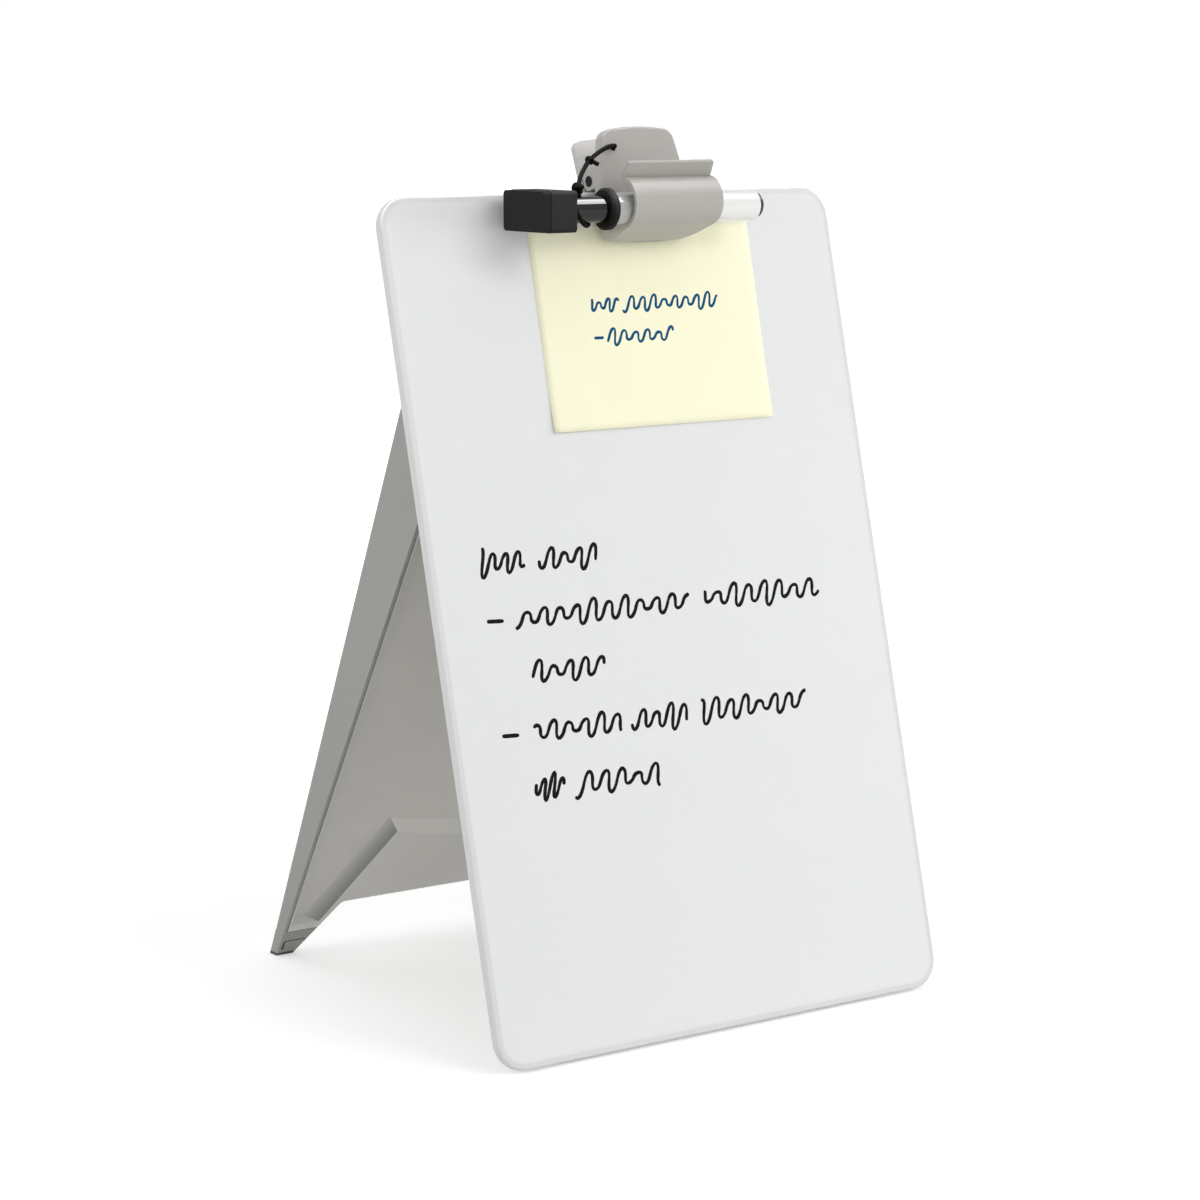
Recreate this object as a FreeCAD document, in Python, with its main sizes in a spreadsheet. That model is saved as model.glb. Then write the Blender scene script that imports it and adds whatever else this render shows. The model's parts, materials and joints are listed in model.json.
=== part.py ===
import FreeCAD, Part
import math
import os
import Sketcher

Vector = FreeCAD.Vector

# How closely an edge has to lie where a rounding looks for it
MATCH = 1e-4

# Driving sizes, in millimetres and degrees. Names that end in share are plain ratios.
SIZES = {
    # Board: a glass pane with a steel sheet bonded behind it
    "board_width": 205.0,
    "board_height": 316.0,
    "glass_thickness": 4.0,
    "board_corner": 11.5,
    "glass_edge_round": 0.8,
    "backing_inset": 2.5,
    "film_thickness": 0.25,
    "backing_thickness": 0.6,
    "board_tilt_angle": 14.26,
    "glass_lift": 0.3,
    # Base strip: the rubber edge that the board stands on
    "strip_width": 150.0,
    "strip_depth": 2.4,
    "strip_rise": 12.0,
    "strip_edge_round": 0.8,
    # Hinges: two brackets behind the board, each with its own pin
    "hinge_drop": 89.0,
    "hinge_inset": 35.1,
    "pin_standoff": 6.0,
    "stop_gap": 0.3,
    "pin_radius": 1.5,
    "pin_length": 34.0,
    "pin_chamfer": 0.3,
    "pin_running_gap": 0.05,
    "pin_end_play": 0.3,
    "bracket_width": 18.0,
    "bracket_half_rise": 10.5,
    "bracket_plate": 1.2,
    "tape_thickness": 0.8,
    "tape_margin": 0.5,
    "ear_thickness": 2.2,
    "ear_radius": 3.4,
    "ear_foot": 6.5,
    "ear_wrap_angle": 60.0,
    "notch_radius": 13.0,
    "notch_side_gap": 0.5,
    # Leg: a wedge with a moulded rear shell and a dished inner cover
    "leg_width": 174.2,
    "leg_front_angle": 30.6,
    "leg_back_angle": 24.67,
    "foot_depth": 5.5,
    "foot_width": 7.6,
    "arch_side": 23.8,
    "arch_rise": 25.4,
    "arch_corner": 3.0,
    "cheek_wall": 1.4,
    "back_wall": 1.8,
    "top_wall": 2.4,
    "arch_wall": 1.8,
    "leg_edge_round": 1.6,
    "cover_start": 12.5,
    "cover_top": 15.0,
    "cover_depth": 4.8,
    "cover_gap": 0.35,
    "cover_seat_gap": 0.1,
    "cover_border": 1.0,
    "dish_depth": 3.4,
    "dish_edge_run": 1.6,
    "ridge_run": 5.5,
    "ridge_foot": 15.4,
    "ridge_foot_rise": 16.0,
    "ridge_corner": 39.3,
    "ridge_corner_rise": 60.9,
    "ridge_sag": 7.5,
    "corner_shift_share": 0.6,
    "rib_wall": 3.0,
    "rib_skin": 1.6,
    # Cover fastenings
    "screw_inset": 30.0,
    "screw_upper_drop": 60.0,
    "screw_lower_rise": 75.0,
    "boss_radius": 3.0,
    "boss_gap": 0.4,
    "pilot_radius": 0.9,
    "screw_hole_radius": 1.45,
    "screw_length": 7.0,
    "head_radius": 2.4,
    "head_height": 0.8,
    "head_side_gap": 0.2,
    "head_sink": 1.0,
    "socket_radius": 1.0,
    "socket_depth": 0.4,
    # Feet: a moulded boot on each leg tip with a rubber sole below it
    "boot_rise": 9.3,
    "boot_round": 1.2,
    "sole_thickness": 1.2,
    "stud_length": 4.5,
    "stud_width": 5.0,
    "stud_depth": 2.6,
    "stud_side": 3.2,
    "stud_gap": 0.1,
    "boot_frame_side": 1.6,
    "boot_frame_groove": 0.5,
    "boot_frame_depth": 0.4,
    # Clip: two jaws on a pin, the front one with a pen trough
    "clip_shift": 10.5,
    "clip_half_width": 20.0,
    "plate_front": 8.0,
    "plate_depth": 4.6,
    "lever_rise": 22.8,
    "lever_taper_angle": 12.2,
    "lever_corner": 5.0,
    "lever_crown": 0.8,
    "taper_start": 2.0,
    "jaw_drop": 20.3,
    "jaw_crown": 0.8,
    "jaw_corner": 4.0,
    "toe_depth": 1.2,
    "root_angle": 9.0,
    "lever_hollow": 1.9,
    "hollow_rim": 2.6,
    "hollow_top": 13.5,
    "hollow_bottom": 6.0,
    "plate_round": 1.0,
    "sleeve_reach": 19.0,
    "sleeve_drop": 8.2,
    "sleeve_outer": 9.4,
    "sleeve_inner": 8.1,
    "neck_angle": 70.0,
    "neck_inner_angle": 76.0,
    "lip_angle": 45.0,
    "lip_length": 6.0,
    "lip_thickness": 1.5,
    "trough_back_angle": 25.0,
    "trough_ledge": 2.0,
    "trough_ledge_back": 2.2,
    "tether_hole_side": 12.2,
    "tether_hole_rise": 14.6,
    "tether_hole_radius": 1.1,
    "pivot_back": 2.0,
    "pivot_rise": 4.4,
    "clip_pin_radius": 1.25,
    "clip_pin_chamfer": 0.2,
    "lug_radius": 3.6,
    "lug_wrap_angle": 72.0,
    "lug_bite": 0.6,
    "lug_thickness": 2.2,
    "front_lug_side": 17.2,
    "rear_lug_gap": 0.3,
    "front_lug_top": 9.0,
    "front_lug_low": 1.6,
    "rear_plate": 2.2,
    "rear_gap": 0.85,
    "rear_lean_angle": 22.3,
    "rear_bend_rise": 6.0,
    "rear_drop": 18.0,
    "rear_lug_top": 9.5,
    "rear_lug_low": 1.6,
    "pad_gap": 0.3,
    "pad_half_width": 16.5,
    "pad_rise": 6.0,
    "pad_inset": 0.5,
    "rear_pad_sink": 0.8,
    # Clip spring
    "spring_radius": 2.9,
    "spring_wire": 0.9,
    "spring_half_length": 5.5,
    "spring_front_angle": -32.0,
    "spring_rear_angle": -172.0,
    "spring_whole_turns": 5.0,
    "spring_front_arm": 8.6,
    "spring_rear_arm": 6.0,
    # Marker, measured along its axis from the middle of the clip
    "pen_radius": 5.75,
    "pen_rest_gap": 0.1,
    "pen_wall": 1.1,
    "pen_shoulder": 25.7,
    "pen_right_end": 40.4,
    "pen_tail_round": 0.7,
    "spigot_radius": 4.05,
    "spigot_length": 4.0,
    "grip_length": 5.0,
    "grip_tip_radius": 2.4,
    "grip_bore": 1.6,
    "nib_radius": 1.3,
    "nib_length": 5.0,
    "nib_tip_radius": 0.7,
    "nib_tail": 6.0,
    "reservoir_radius": 3.3,
    "reservoir_length": 52.0,
    "reservoir_start": 2.0,
    "plug_radius": 4.6,
    "plug_inner_radius": 4.9,
    "plug_length": 5.0,
    "plug_proud": 2.6,
    "plug_crown": 0.8,
    "cap_radius": 4.95,
    "cap_wall": 0.8,
    "cap_length": 20.3,
    "cap_end_wall": 1.5,
    "ring_radius": 7.7,
    "ring_width": 3.4,
    "ring_round": 0.8,
    "eraser_length": 14.35,
    "eraser_depth": 27.0,
    "eraser_height": 15.0,
    "eraser_round": 1.6,
    "felt_thickness": 3.0,
    "felt_inset": 0.2,
    "eraser_end_round": 0.6,
    # Tether between the front lever and the cap
    "tether_radius": 0.65,
    "tether_loop_shift": 38.6,
    "tether_loop_gap": 0.05,
    "knot_radius": 2.0,
    "knot_height": 1.8,
    "stop_knot_radius": 1.7,
    "stop_knot_depth": 1.3,
    # Note held under the front jaw
    "note_width": 102.0,
    "note_height": 76.0,
    "note_thickness": 0.2,
    "note_shift": 10.7,
    "note_top_drop": 13.0,
    "note_turn_angle": 0.6,
    # Overrun of the cuts past the faces that they open
    "overrun": 5.0,
}

# Route of the tether from the back of its hole to the knot on the cap, in the clip's frame.
TETHER_ROUTE = [
    (-12.2, -3.4, 14.6),
    (-12.5, -11.2, 14.7),
    (-16.6, -12.6, 13.9),
    (-21.4, -12.6, 11.4),
    (-27.2, -13.6, 8.2),
    (-32.6, -15.4, 4.0),
    (-36.8, -17.6, 0.4),
    (-38.6, -19.0, -2.5),
]

doc = FreeCAD.newDocument("DeskEasel")


class Size:
    """A number together with the expression that ties it to the sheet."""

    def __init__(self, value, text):
        self.value = value
        self.text = text

    def __add__(self, other):
        other = as_size(other)
        return Size(self.value + other.value, "(%s + %s)" % (self.text, other.text))

    def __sub__(self, other):
        other = as_size(other)
        return Size(self.value - other.value, "(%s - %s)" % (self.text, other.text))

    def __mul__(self, other):
        other = as_size(other)
        return Size(self.value * other.value, "(%s * %s)" % (self.text, other.text))

    def __truediv__(self, other):
        other = as_size(other)
        return Size(self.value / other.value, "(%s / %s)" % (self.text, other.text))

    def __neg__(self):
        return Size(-self.value, "(0 - %s)" % self.text)


def as_size(number):
    if isinstance(number, Size):
        return number
    return Size(float(number), repr(float(number)))


def sine(angle):
    return Size(math.sin(math.radians(angle.value)), "sin(%s)" % angle.text)


def cosine(angle):
    return Size(math.cos(math.radians(angle.value)), "cos(%s)" % angle.text)


def tangent(angle):
    return Size(math.tan(math.radians(angle.value)), "tan(%s)" % angle.text)


def make_sheet():
    sheet = doc.addObject("Spreadsheet::Sheet", "Sizes")
    for row, (name, value) in enumerate(SIZES.items(), start=1):
        sheet.set("A%d" % row, name)
        sheet.set("B%d" % row, str(value))
        sheet.setAlias("B%d" % row, name)
    doc.recompute()


def size(name):
    return Size(SIZES[name], "Sizes.%s" % name)


class Frame:
    """A place in the object's frame, turned about the X axis."""

    def __init__(self, x, y, z, turn):
        self.x = as_size(x)
        self.y = as_size(y)
        self.z = as_size(z)
        self.turn = as_size(turn)

    def point(self, x, y, z):
        x, y, z = as_size(x), as_size(y), as_size(z)
        across = y * cosine(self.turn) - z * sine(self.turn)
        up = y * sine(self.turn) + z * cosine(self.turn)
        return self.x + x, self.y + across, self.z + up

    def shifted(self, x, y, z, turn=None):
        place = self.point(x, y, z)
        return Frame(place[0], place[1], place[2], self.turn if turn is None else turn)

    def placement(self):
        base = Vector(self.x.value, self.y.value, self.z.value)
        return FreeCAD.Placement(base, FreeCAD.Rotation(Vector(1, 0, 0), self.turn.value))


def bind(item, name, value):
    item.setExpression(name, as_size(value).text)


def put(item, frame):
    """Places an item in a frame, bound to the sheet."""
    item.Placement = FreeCAD.Placement(
        frame.placement().Base, FreeCAD.Rotation(Vector(1, 0, 0), frame.turn.value or 1e-9))
    bind(item, "Placement.Base.x", frame.x)
    bind(item, "Placement.Base.y", frame.y)
    bind(item, "Placement.Base.z", frame.z)
    if frame.turn.value:
        bind(item, "Placement.Rotation.Angle", frame.turn)


def new_body(label, frame):
    body = doc.addObject("PartDesign::Body", label)
    body.Label = label
    put(body, frame)
    return body


def origin_plane(body, role):
    return [part for part in body.Origin.OriginFeatures if part.Role == role][0]


def new_sketch(body, role, offset=None):
    """A sketch on one of the body's own planes, moved along the plane's normal."""
    sketch = body.newObject("Sketcher::SketchObject", body.Label + "_sketch")
    sketch.AttachmentSupport = [(origin_plane(body, role), "")]
    sketch.MapMode = "FlatFace"
    if offset is not None:
        sketch.AttachmentOffset = FreeCAD.Placement(Vector(0, 0, offset.value), FreeCAD.Rotation())
        bind(sketch, "AttachmentOffset.Base.z", offset)
    return sketch


def hold(sketch, kind, geometry, end, value):
    """One bound coordinate of a point, measured from the sketch's origin."""
    value = as_size(value)
    index = sketch.addConstraint(
        Sketcher.Constraint(kind, -1, 1, geometry, end, value.value))
    bind(sketch, "Constraints[%d]" % index, value)


def draw_loop(sketch, start, steps):
    """Closes an outline of straight and round steps. A step is (x, y), or
    (x, y, centre x, centre y, radius, clockwise) for an arc to x, y."""
    first = sketch.GeometryCount
    place = (as_size(start[0]), as_size(start[1]))
    corners = [place]
    arcs = []
    for step in steps:
        x, y = as_size(step[0]), as_size(step[1])
        index = sketch.GeometryCount
        if len(step) == 2:
            sketch.addGeometry(Part.LineSegment(
                Vector(place[0].value, place[1].value, 0), Vector(x.value, y.value, 0)))
            arcs.append(None)
        else:
            add_arc(sketch, place, (x, y), step)
            arcs.append((index, step[4], step[5]))
        place = (x, y)
        corners.append(place)
    count = len(steps)
    for number in range(count):
        here = first + number
        after = first + (number + 1) % count
        leaving = 1 if arcs[number] and arcs[number][2] else 2
        entering_arc = arcs[(number + 1) % count]
        entering = 2 if entering_arc and entering_arc[2] else 1
        sketch.addConstraint(Sketcher.Constraint("Coincident", here, leaving, after, entering))
    for number in range(count):
        start_end = 2 if arcs[number] and arcs[number][2] else 1
        hold(sketch, "DistanceX", first + number, start_end, corners[number][0])
        hold(sketch, "DistanceY", first + number, start_end, corners[number][1])
    for arc in arcs:
        if arc:
            radius = as_size(arc[1])
            index = sketch.addConstraint(Sketcher.Constraint("Radius", arc[0], radius.value))
            bind(sketch, "Constraints[%d]" % index, radius)


def add_arc(sketch, start, end, step):
    """Arcs are stored counter-clockwise, so a clockwise one runs from its end to its start."""
    centre = Vector(as_size(step[2]).value, as_size(step[3]).value, 0)
    radius = as_size(step[4]).value
    turns = [math.atan2(spot[1].value - centre.y, spot[0].value - centre.x)
             for spot in (start, end)]
    if step[5]:
        turns.reverse()
    if turns[1] <= turns[0]:
        turns[1] += 2 * math.pi
    circle = Part.Circle(centre, Vector(0, 0, 1), radius)
    sketch.addGeometry(Part.ArcOfCircle(circle, turns[0], turns[1]))


def draw_box(sketch, low_x, low_y, high_x, high_y):
    draw_loop(sketch, (low_x, low_y),
              [(high_x, low_y), (high_x, high_y), (low_x, high_y), (low_x, low_y)])


def draw_circle(sketch, x, y, radius):
    x, y = as_size(x), as_size(y)
    index = sketch.GeometryCount
    sketch.addGeometry(Part.Circle(Vector(x.value, y.value, 0), Vector(0, 0, 1), radius.value))
    hold(sketch, "DistanceX", index, 3, x)
    hold(sketch, "DistanceY", index, 3, y)
    limit = sketch.addConstraint(Sketcher.Constraint("Radius", index, radius.value))
    bind(sketch, "Constraints[%d]" % limit, radius)


def pad(body, sketch, length, both_ways=False, backwards=False):
    doc.recompute()
    feature = body.newObject("PartDesign::Pad", body.Label + "_pad")
    feature.Profile = sketch
    feature.SideType = "Symmetric" if both_ways else "One side"
    feature.Reversed = backwards
    bind(feature, "Length", length)
    doc.recompute()
    return feature


def pocket(body, sketch, length, both_ways=False, backwards=False):
    """Cuts against the sketch's normal, or along it when backwards is set."""
    doc.recompute()
    before = body.Shape.Volume
    feature = body.newObject("PartDesign::Pocket", body.Label + "_pocket")
    feature.Profile = sketch
    feature.SideType = "Symmetric" if both_ways else "One side"
    feature.Reversed = backwards
    bind(feature, "Length", length)
    doc.recompute()
    if not body.Shape.Volume < before:
        raise RuntimeError("a pocket of %s cuts nothing" % body.Label)
    return feature


def revolve(body, sketch):
    doc.recompute()
    feature = body.newObject("PartDesign::Revolution", body.Label + "_turned")
    feature.Profile = sketch
    feature.ReferenceAxis = (sketch, ["H_Axis"])
    feature.Angle = 360
    doc.recompute()
    return feature


def chosen_edges(body, test):
    """Names of the tip's edges whose middle, direction and ends pass a test, in the body's frame."""
    shape = body.Tip.Shape
    names = []
    for number, edge in enumerate(shape.Edges, start=1):
        middle = edge.valueAt((edge.FirstParameter + edge.LastParameter) / 2)
        direction = edge.tangentAt((edge.FirstParameter + edge.LastParameter) / 2)
        if test(middle, direction, edge):
            names.append("Edge%d" % number)
    return names


def round_edges(body, radius, test, kind="Fillet"):
    names = chosen_edges(body, test)
    if not names:
        raise RuntimeError("no edge to round on %s" % body.Label)
    rounded = body.Tip
    feature = body.newObject("PartDesign::" + kind, body.Label + "_" + kind.lower())
    feature.Base = (rounded, names)
    bind(feature, "Radius" if kind == "Fillet" else "Size", radius)
    doc.recompute()
    return feature


def along(direction, axis):
    return direction.cross(axis).Length < MATCH


def near(first, second):
    return abs(first - as_size(second).value) < MATCH


def turned_piece(label, frame, profile):
    """A body turned about the X axis from a closed profile of (x, radius) steps."""
    body = new_body(label, frame)
    sketch = new_sketch(body, "XZ_Plane")
    draw_loop(sketch, profile[0], profile[1:] + [profile[0]])
    revolve(body, sketch)
    return body


# Frames that the pieces are drawn in

tilt = size("board_tilt_angle")
board_back = size("glass_thickness") + size("film_thickness") + size("backing_thickness")
board_z = size("glass_lift") + size("glass_thickness") * sine(tilt)
strip_middle = board_back + size("strip_depth") / 2


def floor_on_board(depth):
    """Height on the board's frame at which a point so far behind its front meets the floor."""
    return (depth * sine(tilt) - board_z) / cosine(tilt)


board_y = -(strip_middle * cosine(tilt) + floor_on_board(strip_middle) * sine(tilt))
BOARD = Frame(0, board_y, board_z, -tilt)
hinge_rise = size("board_height") - size("hinge_drop")
hinge_offset = size("leg_width") / 2 - size("hinge_inset")
LEG = BOARD.shifted(0, board_back + size("pin_standoff"), hinge_rise, size("leg_front_angle"))
CLIP = BOARD.shifted(size("clip_shift"), 0, size("board_height"))
pen_drop = (size("sleeve_drop") + size("sleeve_inner") - size("pen_radius")
            - size("pen_rest_gap"))
PEN = CLIP.shifted(0, -size("sleeve_reach"), -pen_drop, as_size(0))


# Board

def rounded_sheet(label, front, thickness, inset):
    """A sheet with the board's outline, drawn in by an inset, that starts so far back."""
    body = new_body(label, BOARD)
    half = size("board_width") / 2 - inset
    low = as_size(inset)
    high = size("board_height") - inset
    sketch = new_sketch(body, "XZ_Plane", -as_size(front))
    draw_box(sketch, -half, low, half, high)
    pad(body, sketch, thickness, backwards=True)
    round_edges(body, size("board_corner") - inset,
                lambda middle, direction, edge: along(direction, Vector(0, 1, 0)))
    return body


def make_board():
    glass = rounded_sheet("glass_panel", 0, size("glass_thickness"), as_size(0))
    back = SIZES["glass_thickness"]
    round_edges(glass, size("glass_edge_round"),
                lambda middle, direction, edge: near(middle.y, 0) or near(middle.y, back))
    film_back = size("glass_thickness") + size("film_thickness")
    rounded_sheet("bonding_film", size("glass_thickness"), size("film_thickness"),
                  size("backing_inset"))
    rounded_sheet("steel_backing", film_back, size("backing_thickness"), size("backing_inset"))


def make_base_strip():
    body = new_body("base_strip", BOARD)
    sketch = new_sketch(body, "YZ_Plane")
    outer = board_back + size("strip_depth")
    top = size("strip_rise")
    low = size("backing_inset")
    draw_loop(sketch, (board_back, low), [
        (size("glass_thickness"), low),
        (size("glass_thickness"), floor_on_board(size("glass_thickness"))),
        (outer, floor_on_board(outer)),
        (outer, top),
        (board_back, top),
        (board_back, low),
    ])
    pad(body, sketch, size("strip_width"), both_ways=True)
    back = board_back.value + SIZES["strip_depth"]
    round_edges(body, size("strip_edge_round"),
                lambda middle, direction, edge: near(middle.y, back) and near(middle.z, top))


# Hinges

def make_hinge(side, sign):
    place = BOARD.shifted(hinge_offset * sign, board_back + size("pin_standoff"), hinge_rise)
    make_bracket("hinge_bracket_" + side, place)
    make_tape("bracket_tape_" + side, place)
    half = size("pin_length") / 2
    bevel = size("pin_chamfer")
    radius = size("pin_radius")
    turned_piece("hinge_pin_" + side, place, [
        (-half, 0), (-half, radius - bevel), (-half + bevel, radius),
        (half - bevel, radius), (half, radius - bevel), (half, 0)])


def make_bracket(label, place):
    body = new_body(label, place)
    foot = -(size("pin_standoff") - size("tape_thickness"))
    face = foot + size("bracket_plate")
    rise = size("bracket_half_rise")
    ear = size("ear_radius")
    ear_y = ear * cosine(size("ear_wrap_angle"))
    ear_z = ear * sine(size("ear_wrap_angle"))
    sketch = new_sketch(body, "YZ_Plane")
    draw_loop(sketch, (foot, -rise), [
        (face, -rise),
        (face, -size("ear_foot")),
        (ear_y, -ear_z),
        (ear_y, ear_z, 0, 0, ear, False),
        (face, size("ear_foot")),
        (face, rise),
        (foot, rise),
        (foot, -rise),
    ])
    pad(body, sketch, size("bracket_width"), both_ways=True)
    gap = new_sketch(body, "YZ_Plane")
    draw_box(gap, face, -rise, ear + size("overrun"), rise)
    pocket(body, gap, size("bracket_width") - size("ear_thickness") * 2, both_ways=True)
    bore = new_sketch(body, "YZ_Plane")
    draw_circle(bore, 0, 0, size("pin_radius"))
    pocket(body, bore, size("bracket_width") + size("overrun"), both_ways=True)


def make_tape(label, place):
    body = new_body(label, place)
    rise = size("bracket_half_rise") - size("tape_margin")
    sketch = new_sketch(body, "YZ_Plane")
    draw_box(sketch, -size("pin_standoff"), -rise,
             -(size("pin_standoff") - size("tape_thickness")), rise)
    pad(body, sketch, size("bracket_width") - size("tape_margin") * 2, both_ways=True)


# Leg. Its frame has the hinge pin as origin and the inner face upright.

lean = size("leg_front_angle")
fold = lean + tilt
face_in = size("pin_standoff") - size("stop_gap")
half_leg = size("leg_width") / 2
wedge = tangent(lean - size("leg_back_angle"))
floor_z = -((LEG.z - face_in * sine(lean)) / cosine(lean))
back_at_pin = size("foot_depth") - face_in - floor_z * wedge
boot_top = floor_z + size("boot_rise")
cover_low = floor_z + size("cover_start")
cover_high = -size("cover_top")
arch_top = floor_z + size("arch_rise")


def leg_back(height, wall=0):
    """Distance of the rear face, or of a parallel one a wall inside it, at a height."""
    return back_at_pin - wall + wedge * height


def stop_face_run(distance, rear):
    """Where a line along the stop face, so far from the pin, meets a rear line."""
    return ((rear + distance * cosine(fold) + wedge * distance * sine(fold))
            / (sine(fold) - wedge * cosine(fold)))


def stop_face_point(distance, run):
    return (run * sine(fold) - distance * cosine(fold),
            run * cosine(fold) + distance * sine(fold))


def draw_arch(sketch):
    low = floor_z - size("overrun")
    foot = half_leg - size("foot_width")
    side = half_leg - size("arch_side")
    draw_loop(sketch, (-foot, low), [
        (-foot, floor_z), (-side, arch_top), (side, arch_top),
        (foot, floor_z), (foot, low), (-foot, low)])


def arch_corner_edge(middle, direction, edge):
    side = half_leg.value - SIZES["arch_side"]
    return along(direction, Vector(0, 1, 0)) and near(abs(middle.x), side)


def screw_places():
    """Screw positions as (x, z) in the leg's frame."""
    across = half_leg - size("screw_inset")
    upper = -size("screw_upper_drop")
    lower = floor_z + size("screw_lower_rise")
    return [(across * sign, height) for height in (upper, lower) for sign in (-1, 1)]


def make_leg_shell():
    body = new_body("leg_shell", LEG)
    sketch = new_sketch(body, "YZ_Plane")
    corner = stop_face_point(face_in, stop_face_run(face_in, back_at_pin))
    draw_loop(sketch, (-face_in, boot_top), [
        (-face_in, 0),
        (-face_in * cosine(fold), face_in * sine(fold), 0, 0, face_in, True),
        corner,
        (leg_back(boot_top), boot_top),
        (-face_in, boot_top),
    ])
    pad(body, sketch, size("leg_width"), both_ways=True)
    reach = size("leg_width")
    arch = new_sketch(body, "XZ_Plane")
    draw_arch(arch)
    pocket(body, arch, reach, both_ways=True)
    round_edges(body, size("arch_corner"), arch_corner_edge)
    rear = half_leg.value
    round_edges(body, size("leg_edge_round"), lambda middle, direction, edge:
                near(abs(middle.x), rear) and near(middle.y, leg_back(as_size(middle.z))))
    hollow_leg(body)
    notch_leg(body)
    add_studs(body)
    sink_screws(body)


def hollow_leg(body):
    """Opens the shell from the inner side, with a step that seats the cover."""
    seat = size("cover_depth") + size("cover_seat_gap") - face_in
    front = -(face_in + size("overrun"))
    step = arch_top + size("arch_wall")
    wall = size("back_wall")
    inner = face_in - size("top_wall")
    boss = face_in
    top = stop_face_point(inner, stop_face_run(inner, back_at_pin - wall))
    lip_run = (boss + inner * cosine(fold)) / sine(fold)
    lip = stop_face_point(inner, lip_run)
    sketch = new_sketch(body, "YZ_Plane")
    draw_loop(sketch, (front, cover_low), [
        (seat, cover_low),
        (seat, step),
        (leg_back(step, wall), step),
        top,
        lip,
        (boss, cover_high),
        (front, cover_high),
        (front, cover_low),
    ])
    pocket(body, sketch, size("leg_width") - size("cheek_wall") * 2, both_ways=True)


def notch_leg(body):
    """Clears the two hinge brackets and bores the knuckle for their pins."""
    for sign in (-1, 1):
        offset = hinge_offset * sign
        notch = new_sketch(body, "YZ_Plane", offset)
        draw_circle(notch, 0, 0, size("notch_radius"))
        pocket(body, notch, size("bracket_width") + size("notch_side_gap") * 2, both_ways=True)
        bore = new_sketch(body, "YZ_Plane", offset)
        draw_circle(bore, 0, 0, size("pin_radius") + size("pin_running_gap"))
        pocket(body, bore, size("pin_length") + size("pin_end_play") * 2, both_ways=True)


def draw_studs(sketch, gap):
    """The two stud outlines across the foot ends, grown by a gap."""
    middle_y = (leg_back(boot_top) - face_in) / 2
    for sign in (-1, 1):
        middle_x = (half_leg - size("stud_side") - size("stud_width") / 2) * sign
        reach_x = size("stud_width") / 2 + gap
        reach_y = size("stud_depth") / 2 + gap
        draw_box(sketch, middle_x - reach_x, middle_y - reach_y,
                 middle_x + reach_x, middle_y + reach_y)


def add_studs(body):
    sketch = new_sketch(body, "XY_Plane", boot_top)
    draw_studs(sketch, 0)
    pad(body, sketch, size("stud_length"), backwards=True)


def sink_screws(body):
    """Screw holes through the rear wall, each with a sunk seat for its head."""
    for across, height in screw_places():
        rear = leg_back(height)
        hole = new_sketch(body, "XZ_Plane", -rear)
        draw_circle(hole, across, height, size("screw_hole_radius"))
        pocket(body, hole, size("back_wall") * 3, both_ways=True)
        seat = new_sketch(body, "XZ_Plane", -(rear - size("head_sink")))
        draw_circle(seat, across, height, size("head_radius") + size("head_side_gap"))
        pocket(body, seat, size("overrun"))


def make_leg_cover():
    """The inner cover, dished between its border and the ridge above the arch."""
    body = new_body("leg_inner_cover", LEG)
    half = half_leg - size("cheek_wall") - size("cover_gap")
    low = cover_low + size("cover_gap")
    high = cover_high - size("cover_gap")
    face = new_sketch(body, "XZ_Plane", face_in)
    draw_box(face, -half, low, half, high)
    pad(body, face, size("cover_depth"), backwards=True)
    arch = new_sketch(body, "XZ_Plane")
    draw_arch(arch)
    pocket(body, arch, size("leg_width"), both_ways=True)
    round_edges(body, size("arch_corner"), arch_corner_edge)
    dish_cover(body, half - size("cover_border"), high - size("cover_border"))
    rib = new_sketch(body, "XZ_Plane", face_in - size("cover_depth"))
    rib_half = half_leg - size("ridge_corner") - size("rib_wall")
    crest = floor_z + size("ridge_corner_rise") - size("ridge_sag")
    draw_box(rib, -rib_half, arch_top + size("rib_wall"), rib_half, crest - size("rib_wall"))
    pocket(body, rib, size("cover_depth") - size("rib_skin"), backwards=True)
    add_bosses(body)


def draw_dish(sketch, side, top, run, edge_run):
    """The dish outline, drawn in by run along the ridge and by edge_run elsewhere."""
    foot_x = half_leg - size("ridge_foot") + run
    foot_z = floor_z + size("ridge_foot_rise") + edge_run
    corner_x = half_leg - size("ridge_corner") + run * size("corner_shift_share")
    corner_z = floor_z + size("ridge_corner_rise") + run
    sag = size("ridge_sag")
    radius = (corner_x * corner_x + sag * sag) / (sag * 2)
    side = side - edge_run
    draw_loop(sketch, (-side, top - edge_run), [
        (-side, foot_z),
        (-foot_x, foot_z),
        (-corner_x, corner_z),
        (corner_x, corner_z, 0, corner_z - sag + radius, radius, False),
        (foot_x, foot_z),
        (side, foot_z),
        (side, top - edge_run),
        (-side, top - edge_run),
    ])


def dish_cover(body, side, top):
    rim = new_sketch(body, "XZ_Plane", face_in)
    draw_dish(rim, side, top, as_size(0), as_size(0))
    floor = new_sketch(body, "XZ_Plane", face_in - size("dish_depth"))
    draw_dish(floor, side, top, size("ridge_run"), size("dish_edge_run"))
    doc.recompute()
    before = body.Shape.Volume
    dish = body.newObject("PartDesign::SubtractiveLoft", "cover_dish")
    dish.Profile = rim
    dish.Sections = [floor]
    dish.Ruled = True
    doc.recompute()
    if not body.Shape.Volume < before:
        raise RuntimeError("the dish cuts nothing")


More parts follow.
